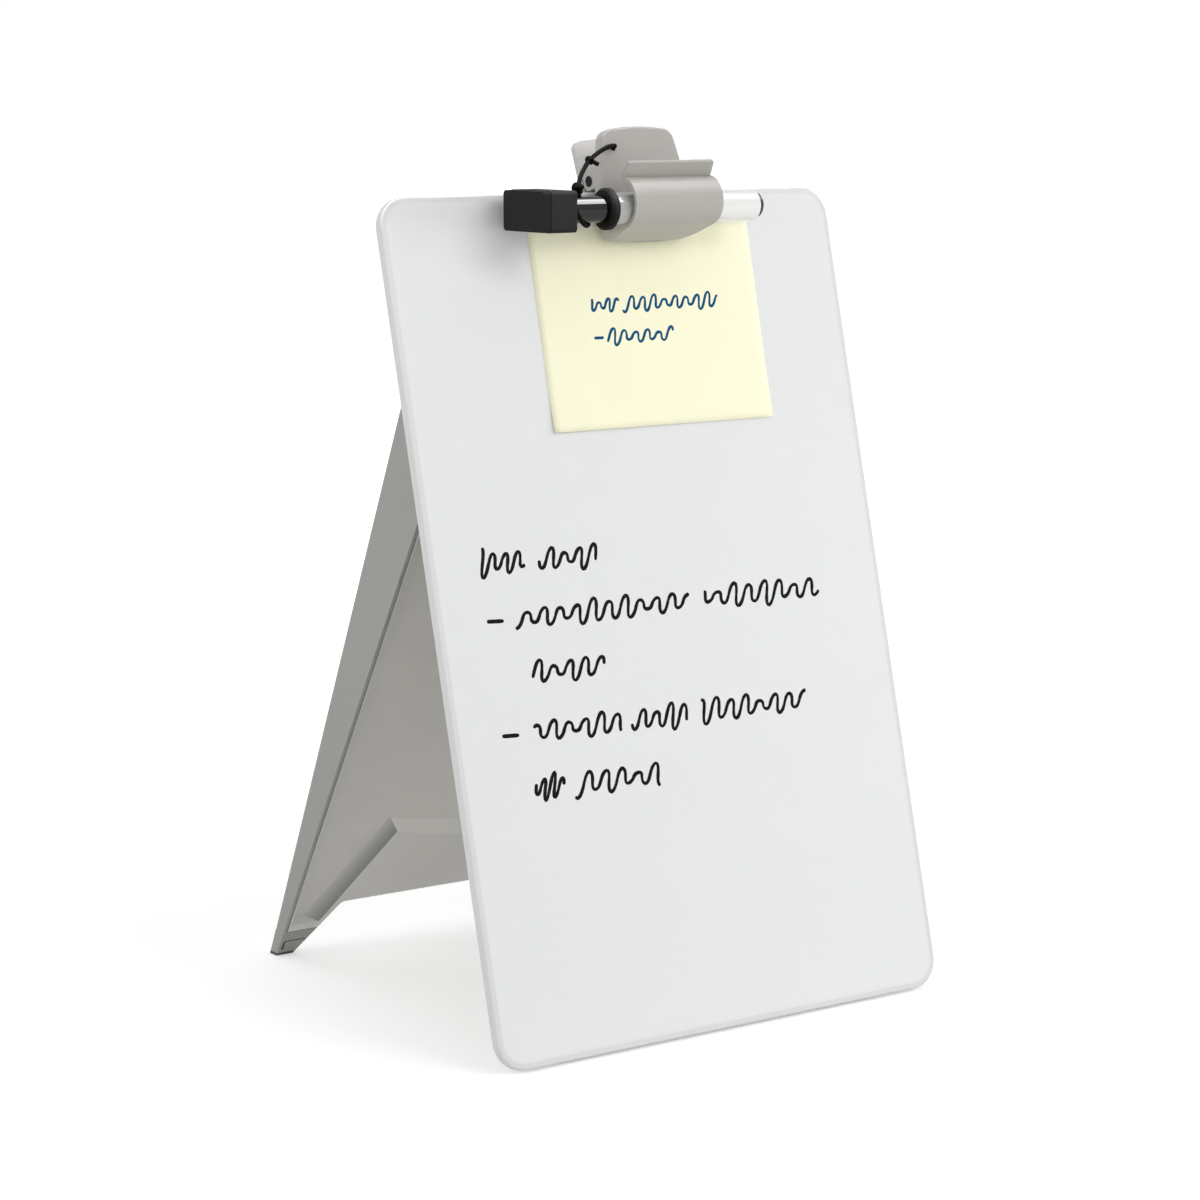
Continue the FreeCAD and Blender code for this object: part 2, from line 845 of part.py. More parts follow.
def add_bosses(body):
    underside = size("cover_depth") - face_in
    for across, height in screw_places():
        length = leg_back(height, size("back_wall")) - underside - size("boss_gap")
        post = new_sketch(body, "XZ_Plane", -underside)
        draw_circle(post, across, height, size("boss_radius"))
        pad(body, post, length, backwards=True)
        pilot = new_sketch(body, "XZ_Plane", -(underside + length))
        draw_circle(pilot, across, height, size("pilot_radius"))
        pocket(body, pilot, length, backwards=True)


def make_screws():
    """Four equal screws in one node, each a fused head and shank with a driver recess."""
    screws = []
    for number, (across, height) in enumerate(screw_places(), start=1):
        rear = leg_back(height) - size("head_sink")
        head = screw_cylinder("screw_head", size("head_radius"), size("head_height"),
                              LEG.shifted(across, rear + size("head_height"), height))
        shank = screw_cylinder("screw_shank", size("pilot_radius"), size("screw_length"),
                               LEG.shifted(across, rear + size("head_height") / 2, height))
        recess = screw_cylinder("screw_recess", size("socket_radius"), size("socket_depth") * 2,
                                LEG.shifted(across, rear + size("head_height")
                                            + size("socket_depth"), height))
        joined = doc.addObject("Part::Fuse", "screw_blank")
        joined.Base = head
        joined.Tool = shank
        screw = doc.addObject("Part::Cut", "screw_%d" % number)
        screw.Base = joined
        screw.Tool = recess
        screws.append(screw)
    group = doc.addObject("Part::Compound", "leg_screws")
    group.Label = "leg_screws"
    group.Links = screws
    return group


def screw_cylinder(name, radius, height, frame):
    """A cylinder whose axis runs from its frame towards the leg's inner side."""
    cylinder = doc.addObject("Part::Cylinder", name)
    bind(cylinder, "Radius", radius)
    bind(cylinder, "Height", height)
    turn = Frame(frame.x, frame.y, frame.z, frame.turn + SQUARE)
    put(cylinder, turn)
    return cylinder


SQUARE = as_size(90)


# Feet

def floor_in_leg(depth, height):
    """Height in the leg's frame of a plane parallel to the floor, at a depth."""
    return -((LEG.z + depth * sine(lean) - height) / cosine(lean))


def foot_block(label, low, high, sign):
    """The leg tip's own section between two heights above the floor, on one side.
    A height of None stands for the leg's cut at the top of the boot."""
    body = new_body(label, LEG)
    front = -face_in
    sketch = new_sketch(body, "YZ_Plane")
    low_rear = rear_at_height(low)
    if high is None:
        upper = [(leg_back(boot_top), boot_top), (front, boot_top)]
    else:
        upper_rear = rear_at_height(high)
        upper = [(leg_back(upper_rear), upper_rear), (front, floor_in_leg(front, high))]
    draw_loop(sketch, (front, floor_in_leg(front, low)),
              [(leg_back(low_rear), low_rear)] + upper + [(front, floor_in_leg(front, low))])
    pad(body, sketch, size("leg_width"), both_ways=True)
    keep_foot(body, sign)
    return body


def rear_at_height(height):
    """Height in the leg's frame at which its rear face reaches a height above the floor."""
    return -((LEG.z - height + back_at_pin * sine(lean)) / (cosine(lean) + wedge * sine(lean)))


def keep_foot(body, sign):
    """Cuts away all but one foot: the arch side as on the leg, and the far half."""
    over = size("overrun")
    foot = half_leg - size("foot_width")
    side = half_leg - size("arch_side")
    far = half_leg + over
    low = floor_z - size("arch_rise")
    cut = new_sketch(body, "XZ_Plane")
    draw_loop(cut, (foot * sign, low), [
        (foot * sign, floor_z), (side * sign, arch_top),
        (-far * sign, arch_top), (-far * sign, low), (foot * sign, low)])
    pocket(body, cut, size("leg_width"), both_ways=True)


def make_foot(side, sign):
    boot = foot_block("foot_boot_" + side, size("sole_thickness"), None, sign)
    outer = half_leg.value
    round_edges(boot, size("boot_round"), lambda middle, direction, edge:
                near(abs(middle.x), outer) and near(middle.y, leg_back(as_size(middle.z))))
    socket = new_sketch(boot, "XY_Plane", boot_top)
    middle_x = (half_leg - size("stud_side") - size("stud_width") / 2) * sign
    middle_y = (leg_back(boot_top) - face_in) / 2
    reach_x = size("stud_width") / 2 + size("stud_gap")
    reach_y = size("stud_depth") / 2 + size("stud_gap")
    draw_box(socket, middle_x - reach_x, middle_y - reach_y,
             middle_x + reach_x, middle_y + reach_y)
    pocket(boot, socket, size("stud_length") + size("stud_gap"))
    frame_boot(boot, sign)
    sole = foot_block("foot_sole_" + side, as_size(0), size("sole_thickness"), sign)
    round_edges(sole, size("boot_round"), lambda middle, direction, edge:
                near(abs(middle.x), outer) and near(middle.y, leg_back(as_size(middle.z))))


def frame_boot(boot, sign):
    """A shallow groove that frames the boot's inner face along its outer side and top."""
    edge = size("boot_frame_side")
    groove = size("boot_frame_groove")
    outer = half_leg - edge
    inner = half_leg - size("foot_width") - size("boot_rise") / 2
    low = floor_z + edge + size("sole_thickness")
    high = boot_top - edge
    sketch = new_sketch(boot, "XZ_Plane", face_in)
    draw_loop(sketch, (outer * sign, low), [
        (outer * sign, high), (inner * sign, high), (inner * sign, high - groove),
        ((outer - groove) * sign, high - groove), ((outer - groove) * sign, low),
        (outer * sign, low)])
    pocket(boot, sketch, size("boot_frame_depth"))


# Clip. Its frame has the board's top front edge as origin, with forward along -Y.

plate_rear = size("plate_front") - size("plate_depth")
sleeve_y = -size("sleeve_reach")
sleeve_z = -size("sleeve_drop")
pivot_y = size("pivot_back")
pivot_z = size("pivot_rise")


def trough_steps():
    """The pen trough's outline, from the jaw's toe round the pen and back to the plate."""
    outer = size("sleeve_outer")
    inner = size("sleeve_inner")
    neck = size("neck_angle")
    inner_neck = size("neck_inner_angle")
    lip = size("lip_angle")
    thick = size("lip_thickness")
    back = size("trough_back_angle")
    root = size("root_angle")
    toe_y = -(plate_rear + size("toe_depth"))
    touch_y = sleeve_y - outer * sine(root)
    touch_z = sleeve_z - outer * cosine(root)
    neck_y = sleeve_y - outer * cosine(neck)
    neck_z = sleeve_z + outer * sine(neck)
    tip_y = neck_y - size("lip_length") * cosine(lip)
    tip_z = neck_z + size("lip_length") * sine(lip)
    rest_y = sleeve_y + inner * cosine(back)
    rest_z = sleeve_z + inner * sine(back)
    ledge_back = size("trough_ledge_back") / 2
    return [
        (toe_y, -size("jaw_drop")),
        (toe_y, touch_z - (toe_y - touch_y) * tangent(root)),
        (touch_y, touch_z),
        (neck_y, neck_z, sleeve_y, sleeve_z, outer, True),
        (tip_y, tip_z),
        (tip_y + thick * sine(lip), tip_z + thick * cosine(lip)),
        (neck_y + thick * sine(lip), neck_z + thick * cosine(lip)),
        (sleeve_y - inner * cosine(inner_neck), sleeve_z + inner * sine(inner_neck)),
        (rest_y, rest_z, sleeve_y, sleeve_z, inner, False),
        (rest_y + ledge_back, -size("trough_ledge") - ledge_back),
        (-size("plate_front"), -size("trough_ledge")),
    ]


def trim_plate(body, low):
    """Cuts the plate to its tapered lever and its lower edge, crowned between round corners."""
    half = size("clip_half_width")
    top = size("lever_rise")
    crown = size("lever_crown")
    corner = size("lever_corner")
    taper = size("lever_taper_angle")
    # The corner's arc leaves the tapered side square and ends level.
    centre_z = top - crown - corner
    flat = half - (centre_z - size("taper_start")) * tangent(taper) - corner / cosine(taper)
    leave_x = flat + corner * cosine(taper)
    leave_z = centre_z + corner * sine(taper)
    crown_radius = (flat * flat + crown * crown) / (crown * 2)
    sag = size("jaw_crown")
    turn = size("jaw_corner")
    level = half - turn
    corner_z = -(low - sag - turn)
    jaw_radius = (level * level + sag * sag) / (sag * 2)
    over = size("overrun")
    sketch = new_sketch(body, "XZ_Plane")
    draw_box(sketch, -(half + over), -(low + over), half + over, top + over)
    draw_loop(sketch, (-half, corner_z), [
        (-level, corner_z - turn, -level, corner_z, turn, False),
        (level, corner_z - turn, 0, jaw_radius - low, jaw_radius, False),
        (half, corner_z, level, corner_z, turn, False),
        (half, size("taper_start")),
        (leave_x, leave_z),
        (flat, top - crown, flat, centre_z, corner, False),
        (-flat, top - crown, 0, top - crown_radius, crown_radius, False),
        (-leave_x, leave_z, -flat, centre_z, corner, False),
        (-half, size("taper_start")),
        (-half, corner_z),
    ])
    pocket(body, sketch, size("sleeve_reach") * 4, both_ways=True)


def add_lug(body, offset, root_top, root_low):
    """A lug from the plate to the pivot. The roots are points inside the plate."""
    wrap_y = size("lug_radius") * cosine(size("lug_wrap_angle"))
    wrap_z = size("lug_radius") * sine(size("lug_wrap_angle"))
    forward = root_top[0].value < pivot_y.value
    side = 1 if forward else -1
    lug = new_sketch(body, "YZ_Plane", offset)
    draw_loop(lug, root_top, [
        (pivot_y + wrap_y * side, pivot_z + wrap_z),
        (pivot_y + wrap_y * side, pivot_z - wrap_z, pivot_y, pivot_z, size("lug_radius"), forward),
        root_low,
        root_top,
    ])
    pad(body, lug, size("lug_thickness"), both_ways=True)


def bore_pivot(body, gap):
    bore = new_sketch(body, "YZ_Plane")
    draw_circle(bore, pivot_y, pivot_z, size("clip_pin_radius") + gap)
    pocket(body, bore, size("clip_half_width") * 2, both_ways=True)


def make_front_jaw():
    body = new_body("clip_front_jaw", CLIP)
    sketch = new_sketch(body, "YZ_Plane")
    low = -size("jaw_drop")
    top = size("lever_rise")
    draw_loop(sketch, (-plate_rear, low), trough_steps() + [
        (-size("plate_front"), top),
        (-plate_rear, top),
        (-plate_rear, low),
    ])
    pad(body, sketch, size("clip_half_width") * 2, both_ways=True)
    trim_plate(body, size("jaw_drop"))
    front = SIZES["plate_front"]
    ledge = SIZES["trough_ledge"]
    round_edges(body, size("plate_round"), lambda middle, direction, edge:
                near(middle.y, -front) and middle.z > -ledge / 2)
    hollow = new_sketch(body, "YZ_Plane")
    draw_box(hollow, -(plate_rear + size("lever_hollow")), -size("hollow_bottom"),
             -plate_rear + size("overrun"), size("hollow_top"))
    pocket(body, hollow, (size("clip_half_width") - size("hollow_rim")) * 2 - size("hollow_rim"),
           both_ways=True)
    root = -(plate_rear + size("lever_hollow") + size("lug_bite"))
    for sign in (-1, 1):
        add_lug(body, size("front_lug_side") * sign, (root, size("front_lug_top")),
                (root, size("front_lug_low")))
    bore_pivot(body, size("pin_running_gap"))
    recess = new_sketch(body, "YZ_Plane")
    pad_high = -(size("jaw_drop") - size("jaw_corner") - size("pad_rise"))
    draw_box(recess, -(plate_rear + size("pad_inset")), pad_high - size("pad_rise"),
             -plate_rear + size("overrun"), pad_high)
    pocket(body, recess, size("pad_half_width") * 2, both_ways=True)
    hole = new_sketch(body, "XZ_Plane")
    draw_circle(hole, -size("tether_hole_side"), size("tether_hole_rise"),
                size("tether_hole_radius"))
    pocket(body, hole, size("plate_front") * 4, both_ways=True)
    return pad_high


def rear_face(height, depth):
    """Distance behind the board's front of the leaning rear lever, so deep in its plate."""
    start = board_back + size("rear_gap") + depth
    return start + (height - size("rear_bend_rise")) * tangent(size("rear_lean_angle"))


def make_rear_jaw(pad_high):
    body = new_body("clip_rear_jaw", CLIP)
    inner = board_back + size("rear_gap")
    outer = inner + size("rear_plate")
    low = -size("rear_drop")
    bend = size("rear_bend_rise")
    top = size("lever_rise")
    sketch = new_sketch(body, "YZ_Plane")
    draw_loop(sketch, (inner, low), [
        (outer, low),
        (outer, bend),
        (rear_face(top, size("rear_plate")), top),
        (rear_face(top, 0), top),
        (inner, bend),
        (inner, low),
    ])
    pad(body, sketch, size("clip_half_width") * 2, both_ways=True)
    trim_plate(body, size("rear_drop"))
    depth = size("lug_bite")
    for sign in (-1, 1):
        offset = (size("front_lug_side") - size("lug_thickness") - size("rear_lug_gap")) * sign
        add_lug(body, offset,
                (rear_face(size("rear_lug_top"), depth), size("rear_lug_top")),
                (inner + depth, size("rear_lug_low")))
    bore_pivot(body, as_size(0))
    recess = new_sketch(body, "YZ_Plane")
    draw_box(recess, inner - size("overrun") / 2, pad_high - size("pad_rise"),
             inner + size("rear_pad_sink"), pad_high)
    pocket(body, recess, size("pad_half_width") * 2, both_ways=True)


def make_pads(pad_high):
    """Rubber pads that grip the glass in front and the steel behind."""
    faces = {
        "clip_front_pad": (-(plate_rear + size("pad_inset")), -size("pad_gap")),
        "clip_rear_pad": (board_back + size("pad_gap"),
                          board_back + size("rear_gap") + size("rear_pad_sink")),
    }
    for label, (near_face, far_face) in faces.items():
        body = new_body(label, CLIP)
        sketch = new_sketch(body, "YZ_Plane")
        draw_box(sketch, near_face, pad_high - size("pad_rise"), far_face, pad_high)
        pad(body, sketch, size("pad_half_width") * 2, both_ways=True)


def make_clip_pin():
    half = size("front_lug_side") + size("lug_thickness") / 2
    bevel = size("clip_pin_chamfer")
    radius = size("clip_pin_radius")
    turned_piece("clip_pivot_pin", CLIP.shifted(0, pivot_y, pivot_z), [
        (-half, 0), (-half, radius - bevel), (-half + bevel, radius),
        (half - bevel, radius), (half, radius - bevel), (half, 0)])


def biarc(start, start_way, end, end_way):
    """Two tangent arcs between two points with given unit directions."""
    span = end - start
    ways = start_way + end_way
    a = ways.dot(ways) - 4
    b = -2 * span.dot(ways)
    c = span.dot(span)
    arm = (-b - math.sqrt(b * b - 4 * a * c)) / (2 * a)
    if arm < 0:
        arm = (-b + math.sqrt(b * b - 4 * a * c)) / (2 * a)
    first = start + start_way * arm
    second = end - end_way * arm
    joint = (first + second) * 0.5
    return [tangent_arc(start, first, joint), tangent_arc(joint, second, end)]


def tangent_arc(start, knee, end):
    """The arc that touches both legs of a corner with equal legs."""
    leg = (knee - start).Length
    weight = (end - start).Length / (2 * leg)
    middle = (start + knee * (2 * weight) + end) * (1 / (2 + 2 * weight))
    return Part.Arc(start, middle, end).toShape()


def make_spring():
    """The torsion spring: an open coil round the pin, with an arm to each lever."""
    radius = SIZES["spring_radius"]
    half = SIZES["spring_half_length"]
    start = math.radians(SIZES["spring_front_angle"])
    end = math.radians(SIZES["spring_rear_angle"] - 360 * SIZES["spring_whole_turns"])
    climb = 2 * half / (start - end)
    steps = math.ceil((start - end) / (math.pi / 2))

    def spot(angle):
        return Vector(-half + climb * (start - angle),
                      -radius * math.cos(angle), radius * math.sin(angle))

    def way(angle):
        forward = Vector(climb, -radius * math.sin(angle), -radius * math.cos(angle))
        return forward.normalize()

    angles = [start + (end - start) * step / steps for step in range(steps + 1)]
    front_tip = spot(start) - way(start) * SIZES["spring_front_arm"]
    rear_tip = spot(end) + way(end) * SIZES["spring_rear_arm"]
    edges = [Part.LineSegment(front_tip, spot(start)).toShape()]
    for first, second in zip(angles, angles[1:]):
        edges += biarc(spot(first), way(first), spot(second), way(second))
    edges.append(Part.LineSegment(spot(end), rear_tip).toShape())
    wire_radius = SIZES["spring_wire"] / 2
    section = Part.Wire([Part.makeCircle(wire_radius, front_tip, way(start))])
    coil = Part.Wire(edges).makePipeShell([section], True, False)
    pitch = 2 * math.pi * climb
    print("spring gap between turns %.2f mm" % (pitch - SIZES["spring_wire"]))
    add_shape("clip_spring", coil, CLIP.shifted(0, pivot_y, pivot_z))


def add_shape(label, shape, frame):
    item = doc.addObject("Part::Feature", label)
    item.Label = label
    item.Shape = shape
    item.Placement = frame.placement()
    return item


# Marker. Its frame has the pen's axis as X, with the middle of the clip as origin.

shoulder = -size("pen_shoulder")
ring_left = shoulder - size("ring_width")
cap_left = ring_left - size("cap_length")


def make_marker():
    radius = size("pen_radius")
    bore = radius - size("pen_wall")
    tail = size("pen_right_end")
    rounding = size("pen_tail_round")
    spigot = size("spigot_radius")
    neck = shoulder - size("spigot_length")
    plug_seat = tail - size("plug_length") + size("plug_proud")
    turned_piece("marker_barrel", PEN, [
        (neck, size("reservoir_radius")), (neck, spigot), (shoulder, spigot), (shoulder, radius),
        (tail - rounding, radius),
        (tail, radius - rounding, tail - rounding, radius - rounding, rounding, True),
        (tail, size("plug_inner_radius")),
        (plug_seat, size("plug_inner_radius")), (plug_seat, bore),
        (shoulder + size("pen_wall"), bore), (shoulder + size("pen_wall"), size("reservoir_radius"))])
    proud = tail + size("plug_proud")
    crown = size("plug_crown")
    turned_piece("marker_end_plug", PEN, [
        (plug_seat, 0), (plug_seat, size("plug_inner_radius")), (tail, size("plug_inner_radius")),
        (tail, size("plug_radius")), (proud - crown, size("plug_radius")),
        (proud, size("plug_radius") - crown), (proud, 0)])
    tip = neck - size("grip_length")
    turned_piece("marker_grip", PEN, [
        (tip, size("grip_bore")), (tip, size("grip_tip_radius")), (neck, spigot),
        (neck, size("grip_bore"))])
    nib_end = tip - size("nib_length")
    nib = size("nib_radius")
    turned_piece("marker_nib", PEN, [
        (nib_end, 0), (nib_end, size("nib_tip_radius")),
        (nib_end + nib, nib), (tip + size("nib_tail"), nib), (tip + size("nib_tail"), 0)])
    start = shoulder + size("reservoir_start")
    turned_piece("ink_reservoir", PEN, [
        (start, 0), (start, size("reservoir_radius")),
        (start + size("reservoir_length"), size("reservoir_radius")),
        (start + size("reservoir_length"), 0)])


def make_cap():
    radius = size("cap_radius")
    bore = radius - size("cap_wall")
    turned_piece("marker_cap", PEN, [
        (cap_left, 0), (cap_left, radius), (ring_left, radius), (ring_left, bore),
        (cap_left + size("cap_end_wall"), bore), (cap_left + size("cap_end_wall"), 0)])
    rounding = size("ring_round")
    ring = size("ring_radius")
    turned_piece("cap_ring", PEN, [
        (ring_left, bore), (ring_left, ring - rounding), (ring_left + rounding, ring),
        (shoulder - rounding, ring), (shoulder, ring - rounding), (shoulder, bore)])


def make_eraser():
    half_depth = size("eraser_depth") / 2
    half_height = size("eraser_height") / 2
    felt_right = cap_left - size("eraser_length") + size("felt_thickness")
    lengthwise = Vector(1, 0, 0)
    block = new_body("eraser_block", PEN)
    section = new_sketch(block, "YZ_Plane", felt_right)
    draw_box(section, -half_depth, -half_height, half_depth, half_height)
    pad(block, section, cap_left - felt_right)
    round_edges(block, size("eraser_round"),
                lambda middle, direction, edge: along(direction, lengthwise))
    face = cap_left.value
    round_edges(block, size("eraser_end_round"),
                lambda middle, direction, edge: near(middle.x, face))
    felt = new_body("eraser_felt", PEN)
    inset = size("felt_inset")
    outline = new_sketch(felt, "YZ_Plane", felt_right)
    draw_box(outline, inset - half_depth, inset - half_height,
             half_depth - inset, half_height - inset)
    pad(felt, outline, size("felt_thickness"), backwards=True)
    round_edges(felt, size("eraser_round"),
                lambda middle, direction, edge: along(direction, lengthwise))


# Tether

def tube(points, radius):
    """A tube along straight runs joined by arcs as large as the shorter run allows."""
    ends = []
    for before, here, after in zip(points, points[1:], points[2:]):
        back_way = (before - here).normalize()
        on_way = (after - here).normalize()
        turn = math.pi - back_way.getAngle(on_way)
        reach = 0.45 * min((before - here).Length, (after - here).Length)
        bend = reach / math.tan(turn / 2)
        middle_way = (back_way + on_way).normalize()
        sink = bend / math.cos(turn / 2) - bend
        ends.append((here + back_way * reach, here + middle_way * sink, here + on_way * reach))
        print("tether bend %.1f mm" % bend)
    edges = []
    place = points[0]
    for arrive, middle, leave in ends:
        edges.append(Part.LineSegment(place, arrive).toShape())
        edges.append(Part.Arc(arrive, middle, leave).toShape())
        place = leave
    edges.append(Part.LineSegment(place, points[-1]).toShape())
    path = Part.Wire(edges)
    section = Part.Wire([Part.makeCircle(radius, points[0], points[1] - points[0])])
    solid = path.makePipeShell([section], True, False)
    wanted = math.pi * radius * radius * path.Length
    print("tether length %.1f mm, volume %.2f of %.2f" % (path.Length, solid.Volume, wanted))
    return solid


def make_tether():
    points = [Vector(*place) for place in TETHER_ROUTE]
    add_shape("tether_cord", tube(points, SIZES["tether_radius"]), CLIP)
    loop = doc.addObject("Part::Torus", "tether_loop")
    loop.Label = "tether_loop"
    bind(loop, "Radius1", size("cap_radius") + size("tether_loop_gap") + size("tether_radius"))
    bind(loop, "Radius2", size("tether_radius"))
    axis = FreeCAD.Rotation(Vector(0, 1, 0), 90)
    loop.Placement = FreeCAD.Placement(Vector(), axis)
    centre = PEN.point(-size("tether_loop_shift"), 0, 0)
    for name, value in zip("xyz", centre):
        bind(loop, "Placement.Base." + name, value)
    last = TETHER_ROUTE[-1]
    first = TETHER_ROUTE[0]
    wide = size("knot_radius")
    add_knot("tether_knot", CLIP.shifted(last[0], last[1], last[2]),
             wide, wide, size("knot_height"))
    broad = size("stop_knot_radius")
    deep = size("stop_knot_depth")
    add_knot("tether_stop_knot", CLIP.shifted(first[0], deep + first[1], first[2]),
             broad, deep, broad)


def add_knot(label, frame, across, deep, high):
    """A knot: an egg with its half sizes along the frame's X, Y and Z."""
    knot = doc.addObject("Part::Ellipsoid", label)
    knot.Label = label
    bind(knot, "Radius1", high)
    bind(knot, "Radius2", across)
    bind(knot, "Radius3", deep)
    put(knot, frame)


# Note

def make_note():
    place = BOARD.shifted(size("note_shift"), 0, size("board_height") - size("note_top_drop"))
    body = new_body("memo_note", place)
    half = size("note_width") / 2
    lean_across = size("note_height") * sine(size("note_turn_angle"))
    sketch = new_sketch(body, "XZ_Plane")
    low = -size("note_height")
    draw_loop(sketch, (-half, 0), [
        (half, 0), (half - lean_across, low), (-half - lean_across, low), (-half, 0)])
    pad(body, sketch, size("note_thickness"))


def build():
    make_sheet()
    make_board()
    make_base_strip()
    for side, sign in (("left", -1), ("right", 1)):
        make_hinge(side, sign)
    make_leg_shell()
    make_leg_cover()
    make_screws()
    for side, sign in (("left", -1), ("right", 1)):
        make_foot(side, sign)
    pad_high = make_front_jaw()
    make_rear_jaw(pad_high)
    make_pads(pad_high)
    make_clip_pin()
    make_spring()
    make_marker()
    make_cap()
    make_eraser()
    make_tether()
    make_note()
    doc.recompute()


def write_parts():
    """Checks every object, then writes each finished piece to its own file."""
    for item in doc.Objects:
        if "Invalid" in item.State or "Error" in item.State:
            raise RuntimeError("%s failed: %s" % (item.Label, item.State))
    loose = ("tether_loop", "tether_knot", "tether_stop_knot", "leg_screws",
             "clip_spring", "tether_cord")
    pieces = [item for item in doc.Objects
              if item.TypeId == "PartDesign::Body" or item.Label in loose]
    for item in pieces:
        if item.Shape.isNull() or not item.Shape.isValid() or not item.Shape.Solids:
            raise RuntimeError("%s has no valid solid" % item.Label)
    os.makedirs("parts", exist_ok=True)
    for item in pieces:
        item.Shape.exportStep("parts/%s.step" % item.Label)
        print("%-22s %d solid(s) %10.1f mm3" % (item.Label, len(item.Shape.Solids),
                                               item.Shape.Volume))


build()
write_parts()
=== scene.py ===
import json
import math

import bmesh
import bpy
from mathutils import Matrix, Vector


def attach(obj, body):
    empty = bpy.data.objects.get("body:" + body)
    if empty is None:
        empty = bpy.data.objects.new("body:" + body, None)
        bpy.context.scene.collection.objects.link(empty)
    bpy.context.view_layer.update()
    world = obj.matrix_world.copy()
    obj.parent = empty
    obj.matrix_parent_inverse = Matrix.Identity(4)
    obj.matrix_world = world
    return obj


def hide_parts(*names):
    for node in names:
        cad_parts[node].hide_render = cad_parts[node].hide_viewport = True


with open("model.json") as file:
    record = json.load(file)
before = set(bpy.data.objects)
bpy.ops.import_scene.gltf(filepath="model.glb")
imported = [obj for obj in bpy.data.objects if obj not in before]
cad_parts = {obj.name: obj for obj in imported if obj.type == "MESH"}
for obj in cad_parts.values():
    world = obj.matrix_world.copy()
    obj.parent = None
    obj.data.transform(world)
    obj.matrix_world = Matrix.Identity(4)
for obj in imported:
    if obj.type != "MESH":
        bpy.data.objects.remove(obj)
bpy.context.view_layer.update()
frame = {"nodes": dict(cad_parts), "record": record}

MM = 0.001

# Places and sizes that several pieces share

# Board plane: the lower front edge of the glass, and how far the board leans back
BOARD_FOOT = Vector((0.0, -5.9157, 1.2853)) * MM
BOARD_TILT = math.radians(14.26)
BOARD_WIDTH = 205.0 * MM
BOARD_HEIGHT = 316.0 * MM
BOARD_CORNER = 11.5 * MM

# How far the clip's middle lies to the right of the board's
CLIP_SHIFT = 10.5 * MM

RIGHT = Vector((1, 0, 0))
UP = Vector((0, math.sin(BOARD_TILT), math.cos(BOARD_TILT)))
FORWARD = Vector((0, -math.cos(BOARD_TILT), math.sin(BOARD_TILT)))
BOARD_TOP = BOARD_FOOT + UP * BOARD_HEIGHT

# The marker's axis lies level, in front of the board's top edge
PEN_PLACE = Vector((10.5, 50.9336, 302.1008)) * MM
CAP_RADIUS = 4.95 * MM


def on_board(across, rise, out=0.0):
    """A point on the glass, in millimetres from the middle of its top edge."""
    return BOARD_TOP + (RIGHT * across + UP * rise + FORWARD * out) * MM


def in_clip(place):
    """A point in the clip's own frame: across, back and up from the board's top edge."""
    across, back, rise = place
    return BOARD_TOP + RIGHT * CLIP_SHIFT + (RIGHT * across - FORWARD * back + UP * rise) * MM


def link_object(name, data):
    piece = bpy.data.objects.new(name, data)
    bpy.context.scene.collection.objects.link(piece)
    return piece


def paint(piece, material):
    piece.data.materials.clear()
    piece.data.materials.append(material)


# Camera: a long lens to the left of the board, a little above it

CAMERA_PLACE = Vector((-703.26, -917.246, 349.115)) * MM
CAMERA_TURN = math.radians(-35.224)
CAMERA_DIP = math.radians(11.267)
CAMERA_LENS = 96.0
CAMERA_SENSOR = 36.0
CAMERA_SHIFT = 0.0965
CAMERA_CLIP_START = 0.05
CAMERA_CLIP_END = 20.0


def add_camera():
    data = bpy.data.cameras.new("camera")
    data.sensor_width = CAMERA_SENSOR
    data.lens = CAMERA_LENS
    data.shift_y = CAMERA_SHIFT
    data.clip_start = CAMERA_CLIP_START
    data.clip_end = CAMERA_CLIP_END
    camera = link_object("camera", data)
    camera.location = CAMERA_PLACE
    camera.rotation_euler = (math.pi / 2 - CAMERA_DIP, 0, CAMERA_TURN)
    bpy.context.scene.camera = camera


# Colours and materials

def tone(red, green, blue):
    """A linear colour from the usual 0 to 255 values."""
    parts = []
    for value in (red, green, blue):
        share = value / 255
        parts.append(share / 12.92 if share <= 0.04045 else ((share + 0.055) / 1.055) ** 2.4)
    return (*parts, 1.0)


def shade(colour, factor):
    return (*(channel * factor for channel in colour[:3]), 1.0)


